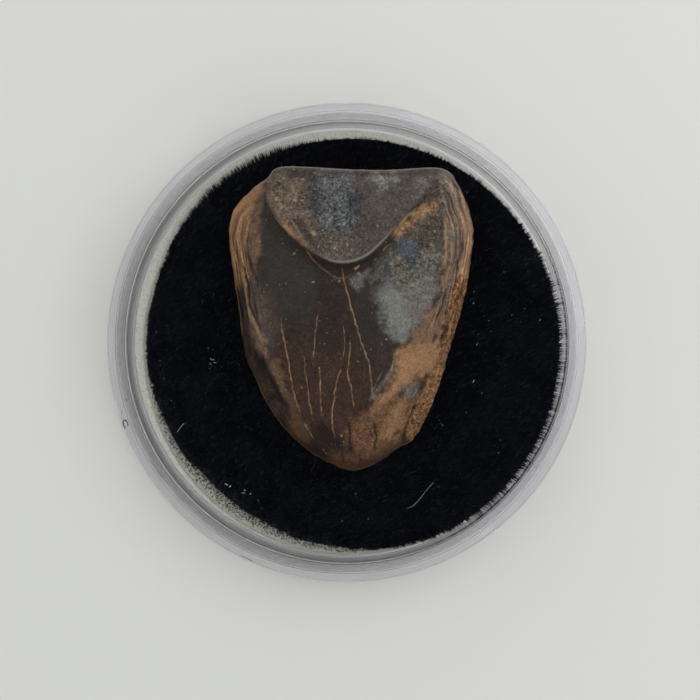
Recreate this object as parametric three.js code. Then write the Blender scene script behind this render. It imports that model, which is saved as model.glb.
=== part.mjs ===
// A fossil ceratopsian tooth lying on the velvet pad of a small round display jar.
// Millimetres, +Z up. The origin is the centre of the jar's underside, +Y points to the
// tooth's wide worn end and +X to its right, seen from above.
import * as THREE from "three";

const { smoothstep, lerp, degToRad, radToDeg, euclideanModulo } = THREE.MathUtils;

// Jar base: one clear moulding with a shoulder for the lid, a snap bead and a rounded rim
const JAR = {
  outerRadius: 20.4,
  neckRadius: 19.35,
  rimRadius: 19.3,
  boreAtRim: 18.8,
  boreAtFloor: 18.6,
  height: 9.0,
  floor: 1.2,
  footChamfer: 0.45,
  shoulderHeight: 4.1,
  shoulderRound: 0.2,
  beadHeight: 6.65,
  beadProud: 0.15,
  beadHalf: 0.45,
  rimRound: 0.15,
  cornerRound: 0.4,
  segments: 72,
};

// Foam disc that fills the jar's bottom, and its velvet facing, which lies a little off centre
const PAD = {
  foamRadius: 18.15,
  foamThickness: 2.1,
  velvetX: 0.4,
  velvetY: -0.35,
  velvetRadius: 17.75,
  velvetThickness: 1.1,
  edgeRound: 0.3,
  segments: 72,
};

// Tooth: outline seen from above, clockwise from the left end of its straight worn edge
const TOOTH_OUTLINE = [
  [-5.89, 14.28], [-3.43, 14.41], [-0.97, 14.25], [3.46, 14.16], [7.24, 14.33], [8.22, 14.16],
  [8.9, 13.65], [9.8, 11.8], [10.49, 9.36], [10.16, 6.02], [9.53, 2.53], [8.52, -0.81],
  [7.54, -3.99], [6.37, -6.83], [5.2, -8.48], [4.37, -8.85], [2.86, -9.94], [0.51, -10.73],
  [-1.66, -10.02], [-3.68, -8.69], [-5.26, -7.17], [-6.93, -4.66], [-8.49, -0.98], [-8.85, 1.69],
  [-9.33, 5.19], [-9.83, 8.86], [-9.4, 11.0], [-7.93, 12.6], [-6.47, 13.66],
];

// Tooth: the raised lip of the U-shaped worn facet, from its left end to its right end
const FACET_LIP = [
  [-6.5, 13.7], [-6.73, 12.53], [-6.33, 10.9], [-4.86, 8.95], [-3.07, 7.48], [-1.28, 6.51],
  [-0.14, 6.43], [1.0, 6.67], [2.13, 7.33], [3.93, 9.28], [5.55, 11.23], [6.86, 12.85], [7.7, 13.9],
];

// Tooth: the enamel's edge above the broad lower right bevel, from the right margin downwards
const ENAMEL_EDGE = [[8.6, 6.6], [8.1, 4.3], [6.85, 2.6], [4.8, 0.15], [3.15, -2.75], [1.5, -5.25]];

// Tooth: the crest between the face and its left flank, from the left margin downwards
const LEFT_CREST = [[-8.7, 4.9], [-8.0, 2.0], [-6.95, -0.25], [-6.2, -2.5], [-5.3, -4.65], [-4.6, -6.6]];

// Tooth: height of the widest line, width of the flank inside it and how round that flank is,
// by direction in degrees about the tooth's middle, anticlockwise from +X
const TOOTH_STATIONS = [
  { at: 0, widest: 3.6, flank: 2.3, round: 1.5 },
  { at: 34, widest: 4.0, flank: 1.8, round: 1.7 },
  { at: 52, widest: 5.6, flank: 1.2, round: 1.8 },
  { at: 60, widest: 6.6, flank: 0.5, round: 1.8 },
  { at: 115, widest: 6.6, flank: 0.5, round: 1.8 },
  { at: 124, widest: 5.4, flank: 1.6, round: 1.7 },
  { at: 145, widest: 4.0, flank: 2.8, round: 1.6 },
  { at: 185, widest: 3.6, flank: 1.8, round: 1.6 },
  { at: 225, widest: 3.2, flank: 1.7, round: 1.5 },
  { at: 250, widest: 2.8, flank: 2.4, round: 1.6 },
  { at: 271, widest: 2.5, flank: 3.2, round: 1.8 },
  { at: 294, widest: 2.8, flank: 4.4, round: 1.4 },
  { at: 318, widest: 3.2, flank: 5.2, round: 1.25 },
  { at: 345, widest: 3.5, flank: 3.2, round: 1.35 },
  { at: 360, widest: 3.6, flank: 2.3, round: 1.5 },
];

const TOOTH = {
  middleX: 0.3,
  middleY: 2.5,
  faceHeight: 7.9,
  crossCurve: 0.012,
  lengthCurve: 0.009,
  crestX: 0.3,
  crestY: 3.0,
  stepHeight: 0.6,
  stepWidth: 1.2,
  lipHeight: 0.2,
  lipWidth: 0.4,
  scoopDepth: 0.4,
  scoopWidth: 3.0,
  edgeHeight: 0.16,
  edgeWidth: 0.45,
  lumpHeight: 0.06,
  flatSpot: 0.34,
  undersideFullness: 0.72,
  columns: 84,
  topRings: 26,
  ringCrowding: 1.35,
  undersideRings: 10,
};

const MATERIALS = {
  jar: new THREE.MeshStandardMaterial({
    color: 0xe6e6ec, roughness: 0.08, metalness: 0, transparent: true, opacity: 0.35,
  }),
  foam: new THREE.MeshStandardMaterial({ color: 0xd8d6cf, roughness: 0.95, metalness: 0 }),
  velvet: new THREE.MeshStandardMaterial({ color: 0x08080b, roughness: 1, metalness: 0 }),
  tooth: new THREE.MeshStandardMaterial({ color: 0x4a3527, roughness: 0.5, metalness: 0 }),
};

// A profile of [radius, height] points, turned about the Z axis
function turned(profile, segments) {
  const points = profile.map(([radius, height]) => new THREE.Vector2(radius, height));
  const geometry = new THREE.LatheGeometry(points, segments);
  geometry.rotateX(Math.PI / 2);
  return geometry;
}

function jarBase() {
  const bead = JAR.neckRadius + JAR.beadProud;
  const profile = [
    [0, 0],
    [JAR.outerRadius - JAR.footChamfer, 0],
    [JAR.outerRadius, JAR.footChamfer],
    [JAR.outerRadius, JAR.shoulderHeight - JAR.shoulderRound],
    [JAR.outerRadius - JAR.shoulderRound, JAR.shoulderHeight],
    [JAR.neckRadius, JAR.shoulderHeight],
    [JAR.neckRadius, JAR.beadHeight - JAR.beadHalf],
    [bead, JAR.beadHeight],
    [JAR.neckRadius, JAR.beadHeight + JAR.beadHalf],
    [JAR.rimRadius, JAR.height - JAR.rimRound],
    [JAR.rimRadius - JAR.rimRound, JAR.height],
    [JAR.boreAtRim + JAR.rimRound, JAR.height],
    [JAR.boreAtRim, JAR.height - JAR.rimRound],
    [JAR.boreAtFloor, JAR.floor + JAR.cornerRound],
    [JAR.boreAtFloor - JAR.cornerRound, JAR.floor],
    [0, JAR.floor],
  ];
  return turned(profile, JAR.segments);
}

function foamDisc() {
  const bottom = JAR.floor;
  const top = bottom + PAD.foamThickness;
  const profile = [
    [0, bottom],
    [PAD.foamRadius, bottom],
    [PAD.foamRadius, top],
    [0, top],
  ];
  return turned(profile, PAD.segments);
}

function velvetFacing() {
  const bottom = JAR.floor + PAD.foamThickness;
  const top = bottom + PAD.velvetThickness;
  const profile = [
    [0, bottom],
    [PAD.velvetRadius - PAD.edgeRound, bottom],
    [PAD.velvetRadius, bottom + PAD.edgeRound],
    [PAD.velvetRadius, top - PAD.edgeRound],
    [PAD.velvetRadius - PAD.edgeRound, top],
    [0, top],
  ];
  return turned(profile, PAD.segments);
}

// The value that the stations give in a direction, eased from one station to the next
function station(degrees, key) {
  const next = TOOTH_STATIONS.findIndex((entry) => entry.at > degrees);
  const after = TOOTH_STATIONS[next];
  const before = TOOTH_STATIONS[next - 1];
  return lerp(before[key], after[key], smoothstep(degrees, before.at, after.at));
}

// Signed distance from a point to a line of points, positive on the line's left
function distanceTo(line, x, y) {
  let nearest = Infinity;
  let side = 1;
  for (let i = 1; i < line.length; i += 1) {
    const [ax, ay] = line[i - 1];
    const [bx, by] = line[i];
    const [dx, dy] = [bx - ax, by - ay];
    const along = THREE.MathUtils.clamp(((x - ax) * dx + (y - ay) * dy) / (dx * dx + dy * dy), 0, 1);
    const distance = Math.hypot(x - ax - along * dx, y - ay - along * dy);
    if (distance < nearest) {
      nearest = distance;
      side = Math.sign(dx * (y - ay) - dy * (x - ax)) || 1;
    }
  }
  return nearest * side;
}

// A rounded ridge of unit height along a line of points
function ridge(line, x, y, width) {
  return Math.exp(-((distanceTo(line, x, y) / width) ** 2));
}

// Height of the face over a point, before the flanks fall away from it: a low dome, the step
// up to the facet, the lip along it, the hollow worn inside it and the two edges of the enamel
function faceHeight(x, y) {
  const inside = distanceTo(FACET_LIP, x, y);
  const dome = TOOTH.faceHeight
    - TOOTH.crossCurve * (x - TOOTH.crestX) ** 2
    - TOOTH.lengthCurve * (y - TOOTH.crestY) ** 2;
  const step = TOOTH.stepHeight * smoothstep(inside, -TOOTH.stepWidth, 0);
  const lip = TOOTH.lipHeight * Math.exp(-((inside / TOOTH.lipWidth) ** 2));
  const hollow = TOOTH.scoopDepth * smoothstep(inside, TOOTH.lipWidth, TOOTH.scoopWidth);
  const edges = TOOTH.edgeHeight
    * (ridge(ENAMEL_EDGE, x, y, TOOTH.edgeWidth) + ridge(LEFT_CREST, x, y, TOOTH.edgeWidth));
  return dome + step + lip - hollow + edges;
}

// Low lumps of the worn stone, a sum of crossing waves
function lumps(x, y) {
  const waves = Math.sin(1.3 * x + 0.4 * y) + Math.sin(0.9 * y - 0.7 * x + 1.1)
    + Math.sin(2.1 * x - 1.7 * y + 0.3);
  return TOOTH.lumpHeight * waves;
}

// A column of the tooth at each outline point, with the values that hold all along it
function toothColumns() {
  const outline = TOOTH_OUTLINE.map(([x, y]) => new THREE.Vector3(x, y, 0)).reverse();
  const curve = new THREE.CatmullRomCurve3(outline, true, "centripetal");
  return curve.getSpacedPoints(TOOTH.columns).slice(0, -1).map((point) => {
    const dx = point.x - TOOTH.middleX;
    const dy = point.y - TOOTH.middleY;
    const degrees = euclideanModulo(radToDeg(Math.atan2(dy, dx)), 360);
    return {
      dx,
      dy,
      reach: Math.hypot(dx, dy),
      widest: station(degrees, "widest"),
      flank: station(degrees, "flank"),
      round: station(degrees, "round"),
    };
  });
}

// A point of the upper side, at a share of the way from the middle to the outline
function upperPoint(column, share) {
  const x = TOOTH.middleX + share * column.dx;
  const y = TOOTH.middleY + share * column.dy;
  const fromEdge = Math.min(1, ((1 - share) * column.reach) / column.flank);
  const rise = (1 - (1 - fromEdge) ** column.round) ** (1 / column.round);
  const face = faceHeight(x, y) + lumps(x, y);
  return [x, y, lerp(column.widest, face, rise)];
}

// A point of the underside: a full bowl from the widest line down to the flat spot
function lowerPoint(column, turn) {
  const share = lerp(TOOTH.flatSpot, 1, Math.sin(turn) ** TOOTH.undersideFullness);
  const height = column.widest * (1 - Math.cos(turn));
  return [TOOTH.middleX + share * column.dx, TOOTH.middleY + share * column.dy, height];
}

// The tooth as rings of points from the top's middle, over the widest line, to the flat spot
function tooth() {
  const columns = toothColumns();
  const rings = [];
  for (let i = 1; i <= TOOTH.topRings; i += 1) {
    const share = 1 - (1 - i / TOOTH.topRings) ** TOOTH.ringCrowding;
    rings.push(columns.map((column) => upperPoint(column, share)));
  }
  for (let i = TOOTH.undersideRings - 1; i >= 0; i -= 1) {
    const turn = degToRad(90) * (i / TOOTH.undersideRings);
    rings.push(columns.map((column) => lowerPoint(column, turn)));
  }
  const { middleX, middleY } = TOOTH;
  const top = faceHeight(middleX, middleY) + lumps(middleX, middleY);
  const positions = [...rings.flat(), [middleX, middleY, top], [middleX, middleY, 0]];
  const count = columns.length;
  const topIndex = rings.length * count;
  const flatIndex = topIndex + 1;
  const faces = [];
  for (let i = 0; i < count; i += 1) {
    const next = (i + 1) % count;
    faces.push(topIndex, i, next);
    for (let ring = 1; ring < rings.length; ring += 1) {
      const inner = (ring - 1) * count;
      const outer = ring * count;
      faces.push(inner + i, outer + i, outer + next, inner + i, outer + next, inner + next);
    }
    const last = (rings.length - 1) * count;
    faces.push(flatIndex, last + next, last + i);
  }
  const geometry = new THREE.BufferGeometry();
  geometry.setAttribute("position", new THREE.Float32BufferAttribute(positions.flat(), 3));
  geometry.setIndex(faces);
  geometry.computeVertexNormals();
  return geometry;
}

function piece(name, geometry, material) {
  const mesh = new THREE.Mesh(geometry, material);
  mesh.name = name;
  return mesh;
}

const facing = piece("velvet_facing", velvetFacing(), MATERIALS.velvet);
facing.position.set(PAD.velvetX, PAD.velvetY, 0);

const specimen = piece("tooth", tooth(), MATERIALS.tooth);
specimen.position.z = JAR.floor + PAD.foamThickness + PAD.velvetThickness;

const object = new THREE.Group();
object.name = "fossil_tooth_in_jar";
object.add(piece("jar_base", jarBase(), MATERIALS.jar));
object.add(piece("foam_disc", foamDisc(), MATERIALS.foam));
object.add(facing);
object.add(specimen);

export default object;
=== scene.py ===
"""Dresses a fossil ceratopsian tooth that lies on the velvet pad of a small round display jar.

Objects are in metres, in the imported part's frame: +Z up, the origin at the centre of the jar's
underside, +Y to the tooth's wide worn end. The shape functions work in millimetres.
"""

import math

import bpy
import numpy as np
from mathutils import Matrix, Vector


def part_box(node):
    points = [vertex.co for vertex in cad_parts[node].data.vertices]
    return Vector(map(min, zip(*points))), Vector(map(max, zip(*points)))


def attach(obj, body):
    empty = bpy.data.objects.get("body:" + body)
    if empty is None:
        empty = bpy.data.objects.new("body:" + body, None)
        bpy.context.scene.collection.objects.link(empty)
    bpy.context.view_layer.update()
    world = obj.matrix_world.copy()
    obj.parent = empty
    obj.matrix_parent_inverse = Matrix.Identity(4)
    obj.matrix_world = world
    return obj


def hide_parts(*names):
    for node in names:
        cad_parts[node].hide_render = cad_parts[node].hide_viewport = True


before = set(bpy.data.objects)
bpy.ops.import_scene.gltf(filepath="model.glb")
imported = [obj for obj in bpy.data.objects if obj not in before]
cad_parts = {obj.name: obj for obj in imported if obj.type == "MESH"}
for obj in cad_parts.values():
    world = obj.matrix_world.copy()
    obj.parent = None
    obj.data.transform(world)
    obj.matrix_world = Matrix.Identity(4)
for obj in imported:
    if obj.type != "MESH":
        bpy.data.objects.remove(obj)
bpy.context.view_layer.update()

bl_info = {
    "name": "Fossil Tooth in a Display Jar",
    "version": (1, 0, 0),
    "blender": (4, 5, 0),
    "location": "View3D > Sidebar > Fossil Tooth",
    "description": "Builds a worn fossil tooth on black velvet in a round clear jar",
    "category": "Add Mesh",
}

MM = 0.001


def box_in_mm(node):
    """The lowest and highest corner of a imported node, in millimetres."""
    low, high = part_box(node)
    return np.array(low, dtype=float) / MM, np.array(high, dtype=float) / MM


JAR_HIGH = box_in_mm("jar_base")[1]
FOAM_LOW, FOAM_HIGH = box_in_mm("foam_disc")
PILE_LOW, PILE_HIGH = box_in_mm("velvet_facing")
TOOTH_LOW = box_in_mm("tooth")[0]
FOAM_CENTRE = (FOAM_LOW + FOAM_HIGH) / 2
PAD_CENTRE = (PILE_LOW + PILE_HIGH) / 2
PAD_RADIUS = (PILE_HIGH[0] - PILE_LOW[0]) / 2
GROUND_RADIUS = PAD_RADIUS - 0.04
PILE_RADIUS = PAD_RADIUS - 0.08
PAD_COLUMNS = 360

# The jar base in millimetres: its neck, shoulder and bead are those of its solid, its bore is a
# little narrower, and the bevel inside its rim is here alone
NECK_RADIUS = 19.35
BORE_RADIUS = 18.52
BEVEL_RADIUS = 19.0
BEVEL_FOOT = 7.8
SHOULDER_HEIGHT = 4.1
BEAD_HEIGHT = 6.65

# The tooth in millimetres, as its solid has it: the outline, clockwise from the left end of the
# straight worn edge, the lip of the worn facet, the enamel's edge and the left crest
TOOTH_OUTLINE = [
    (-5.89, 14.28), (-3.43, 14.41), (-0.97, 14.25), (3.46, 14.16), (7.24, 14.33), (8.22, 14.16),
    (8.9, 13.65), (9.8, 11.8), (10.49, 9.36), (10.16, 6.02), (9.53, 2.53), (8.52, -0.81),
    (7.54, -3.99), (6.37, -6.83), (5.2, -8.48), (4.37, -8.85), (2.86, -9.94), (0.51, -10.73),
    (-1.66, -10.02), (-3.68, -8.69), (-5.26, -7.17), (-6.93, -4.66), (-8.49, -0.98), (-8.85, 1.69),
    (-9.33, 5.19), (-9.83, 8.86), (-9.4, 11.0), (-7.93, 12.6), (-6.47, 13.66),
]
FACET_LIP = [
    (-6.5, 13.7), (-6.73, 12.53), (-6.33, 10.9), (-4.86, 8.95), (-3.07, 7.48), (-1.28, 6.51),
    (-0.14, 6.43), (1.0, 6.67), (2.13, 7.33), (3.93, 9.28), (5.55, 11.23), (6.86, 12.85), (7.7, 13.9),
]
ENAMEL_EDGE = [(8.6, 6.6), (8.1, 4.3), (6.85, 2.6), (4.8, 0.15), (3.15, -2.75), (1.5, -5.25)]
LEFT_CREST = [(-8.7, 4.9), (-8.0, 2.0), (-6.95, -0.25), (-6.2, -2.5), (-5.3, -4.65), (-4.6, -6.6)]

# Direction in degrees about the tooth's middle, height of the widest line, width of the flank
# inside it and how round the flank is
TOOTH_STATIONS = [
    (0, 3.6, 2.3, 1.5), (34, 4.0, 1.8, 1.7), (52, 5.6, 1.2, 1.8), (60, 6.6, 0.5, 1.8),
    (115, 6.6, 0.5, 1.8), (124, 5.4, 1.6, 1.7), (145, 4.0, 2.8, 1.6), (185, 3.6, 1.8, 1.6),
    (225, 3.2, 1.7, 1.5), (250, 2.8, 2.4, 1.6), (271, 2.5, 3.2, 1.8), (294, 2.8, 4.4, 1.4),
    (318, 3.2, 5.2, 1.25), (345, 3.5, 3.2, 1.35), (360, 3.6, 2.3, 1.5),
]
TOOTH_MIDDLE = (0.3, 2.5)
FACE_HEIGHT = 7.9
CROSS_CURVE = 0.012
LENGTH_CURVE = 0.009
DOME_TOP = (0.3, 3.0)
STEP_HEIGHT = 0.6
STEP_WIDTH = 1.2
LIP_HEIGHT = 0.2
LIP_WIDTH = 0.4
SCOOP_DEPTH = 0.4
SCOOP_WIDTH = 3.0
EDGE_HEIGHT = 0.16
EDGE_WIDTH = 0.45
LUMP_HEIGHT = 0.06
FLAT_SPOT = 0.34
UNDERSIDE_FULLNESS = 0.72
OUTLINE_LENGTH = 75.0

# Lines on the tooth's face, in millimetres: golden mineral-filled cracks with their half width
CRACKS = [
    (0.075, [(-0.4, 6.0), (-0.33, 5.8), (0.18, 3.65), (1.13, 0.22), (1.81, -1.67), (2.07, -3.56),
             (2.1, -4.6)]),
    (0.07, [(-0.25, -1.84), (-0.85, -3.39), (-1.14, -5.11), (-1.14, -6.66), (-0.94, -8.37)]),
    (0.06, [(0.27, 0.25), (0.26, -1.33), (0.09, -2.53), (0.43, -4.08), (0.73, -5.63)]),
    (0.035, [(-0.25, 1.42), (-0.22, 0.1), (-0.25, -1.47)]),
    (0.06, [(-2.23, -2.01), (-2.14, -3.74), (-2.1, -6.12)]),
    (0.06, [(-3.6, -0.81), (-3.35, -2.53), (-3.09, -4.76), (-2.83, -6.32)]),
    (0.07, [(-5.37, 1.76), (-5.23, 0.56), (-4.72, -2.01), (-4.28, -4.59), (-3.77, -5.96)]),
    (0.06, [(-3.52, -6.83), (-2.74, -8.12)]),
    (0.05, [(-2.31, 2.45), (-2.57, 0.74), (-2.74, -1.5)]),
    (0.03, [(1.9, -6.1), (2.2, -7.4), (2.15, -8.9)]),
]
GOLD_STREAKS = [
    (0.15, [(-8.64, 6.2), (-8.57, 5.3), (-8.38, 4.4), (-8.32, 3.45), (-8.07, 2.35), (-7.35, 0.95),
            (-6.63, -0.8)]),
    (0.12, [(-8.5, 5.0), (-8.36, 4.1)]),
    (0.06, [(-8.45, 6.5), (-8.21, 5.3)]),
    (0.12, [(4.04, -0.81), (3.62, -2.45)]),
    (0.12, [(8.05, 10.3), (8.2, 8.3), (8.0, 6.0)]),
    (0.09, [(8.6, 8.6), (8.55, 6.6), (8.1, 4.9)]),
    (0.2, [(-5.2, 9.55), (-4.3, 8.6)]),
    (0.17, [(3.7, 8.5), (4.7, 9.95), (5.7, 10.85), (6.6, 11.2)]),
    (0.1, [(0.6, 5.85), (1.1, 6.3)]),
]
OUTER_STEP = [
    (-5.9, 10.2), (-5.2, 9.31), (-3.73, 8.0), (-3.08, 7.02), (-1.93, 5.88), (-0.95, 5.31), (-0.3, 5.23),
    (0.51, 5.55), (1.66, 6.04), (3.13, 7.51), (4.43, 9.31), (5.25, 10.45), (6.23, 11.27),
]
INNER_RIDGE = [(-5.0, 10.7), (-4.3, 9.7), (-3.5, 8.4)]
DARK_CRACK = [(5.9, -5.1), (5.45, -6.3), (5.05, -7.2), (4.85, -8.3)]
CHIP = (4.95, -8.2)
DARK_GROOVES = [
    (0.1, [(8.35, 4.4), (7.95, 3.0), (7.3, 1.7)]),
    (0.08, [(-9.35, 6.9), (-9.15, 4.9), (-8.7, 3.2)]),
    (0.08, [(-8.36, 6.5), (-8.5, 5.7), (-8.2, 4.9), (-8.07, 4.2), (-8.1, 3.35), (-7.8, 2.35), (-7.05, 0.95)]),
    (0.06, [(-9.0, 5.3), (-8.75, 4.3), (-8.6, 3.2), (-8.3, 2.3)]),
    (0.06, [(-9.3, 8.6), (-9.27, 7.86), (-9.07, 6.3), (-8.84, 4.35)]),
    (0.055, [(-8.6, 6.5), (-8.17, 4.58), (-8.09, 3.96)]),
    (0.05, [(-8.6, 8.2), (-8.5, 7.2), (-8.35, 6.4)]),
    (0.12, [(0.15, -6.5), (0.25, -7.8), (0.3, -9.3)]),
    (0.09, [(-0.5, -8.6), (-0.35, -9.6), (-0.3, -10.3)]),
    (0.1, [(2.35, -6.6), (2.5, -7.8), (2.35, -9.2)]),
    (0.06, [(1.1, -9.3), (1.2, -10.0), (1.05, -10.5)]),
]
PALE_STREAKS = [
    (0.3, [(4.0, -1.9), (3.3, -3.0), (2.5, -4.1), (1.9, -4.9)]),
    (0.16, [(4.5, -0.6), (4.1, -1.6), (3.5, -2.4)]),
    (0.1, [(2.9, -2.4), (2.5, -3.2), (2.1, -4.0)]),
    (0.08, [(2.0, -5.1), (2.05, -6.0), (2.0, -7.2)]),
    (0.1, [(1.3, -8.0), (1.75, -9.0), (1.7, -9.9)]),
    (0.1, [(8.5, 3.6), (8.0, 2.4)]),
]

# Ochre blotches and pale chips of the tooth, in millimetres: radius, then where it is
OCHRE_SPOTS = [
    (0.14, -5.77, 11.73), (0.1, -5.19, 13.45), (0.17, -4.23, 11.61), (0.13, -3.68, 11.61),
    (0.17, -5.36, 10.99), (0.11, -3.6, 10.44), (0.26, -2.7, 8.88), (0.1, -2.31, 7.78),
    (0.11, -1.26, 8.18), (0.14, -1.02, 7.63), (0.13, 0.03, 7.94), (0.12, -0.12, 9.74),
    (0.12, -0.51, 11.22), (0.13, -1.37, 9.97), (0.12, -0.28, 10.36), (0.14, -3.56, 13.33),
    (0.16, -4.4, 12.5), (0.1, 0.54, 11.35), (0.09, 2.39, 13.87), (0.08, 4.37, 12.53),
    (0.08, 5.31, 11.98), (0.1, 2.48, 9.49), (0.22, 5.48, 10.5), (0.2, 6.17, 11.0), (0.2, 5.06, 9.55),
    (0.16, 4.3, 8.8), (0.12, 7.89, 11.64), (0.13, 8.23, 10.1), (0.13, 8.23, 8.6), (0.1, 8.66, 7.26),
    (0.13, 7.95, 7.0), (0.15, 5.4, 4.68), (0.1, 4.75, 5.0), (0.12, 7.2, 9.15), (0.1, 3.3, 0.2),
    (0.14, 7.9, 12.4), (0.12, -0.46, -7.75), (0.08, -0.23, -8.2), (0.1, -2.24, -2.12),
    (0.12, -1.73, -9.3), (0.12, -3.41, -6.9), (0.09, -1.95, -9.0), (0.1, -2.74, 4.9), (0.11, -0.6, 5.0),
    (0.1, -4.35, 7.15), (0.12, 1.0, 5.55), (0.13, 4.3, 6.9), (0.1, 6.2, 7.4), (0.11, 6.9, 8.0),
    (0.1, 7.3, 6.7), (0.19, -8.43, 4.75), (0.14, -8.22, 5.35), (0.1, -7.6, 9.1), (0.1, -7.15, 8.2),
]
PALE_SPOTS = [
    (0.08, 1.37, -2.55), (0.09, -3.74, -3.72), (0.07, -4.35, -2.83), (0.09, -2.8, -1.84),
    (0.12, -2.05, -5.97), (0.08, -5.8, 1.95), (0.08, -5.35, 1.9), (0.07, -2.2, 3.2), (0.08, -1.6, 1.9),
    (0.07, 0.35, 3.6), (0.08, 2.1, 2.9), (0.07, -3.8, 0.25), (0.07, -1.0, 0.9), (0.08, 1.2, -0.6),
    (0.07, -0.7, -0.9), (0.07, -4.6, -0.3), (0.06, -3.2, 1.5), (0.08, 0.9, -1.6), (0.07, -1.6, -2.6),
    (0.08, 0.3, -3.0),
]

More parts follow.
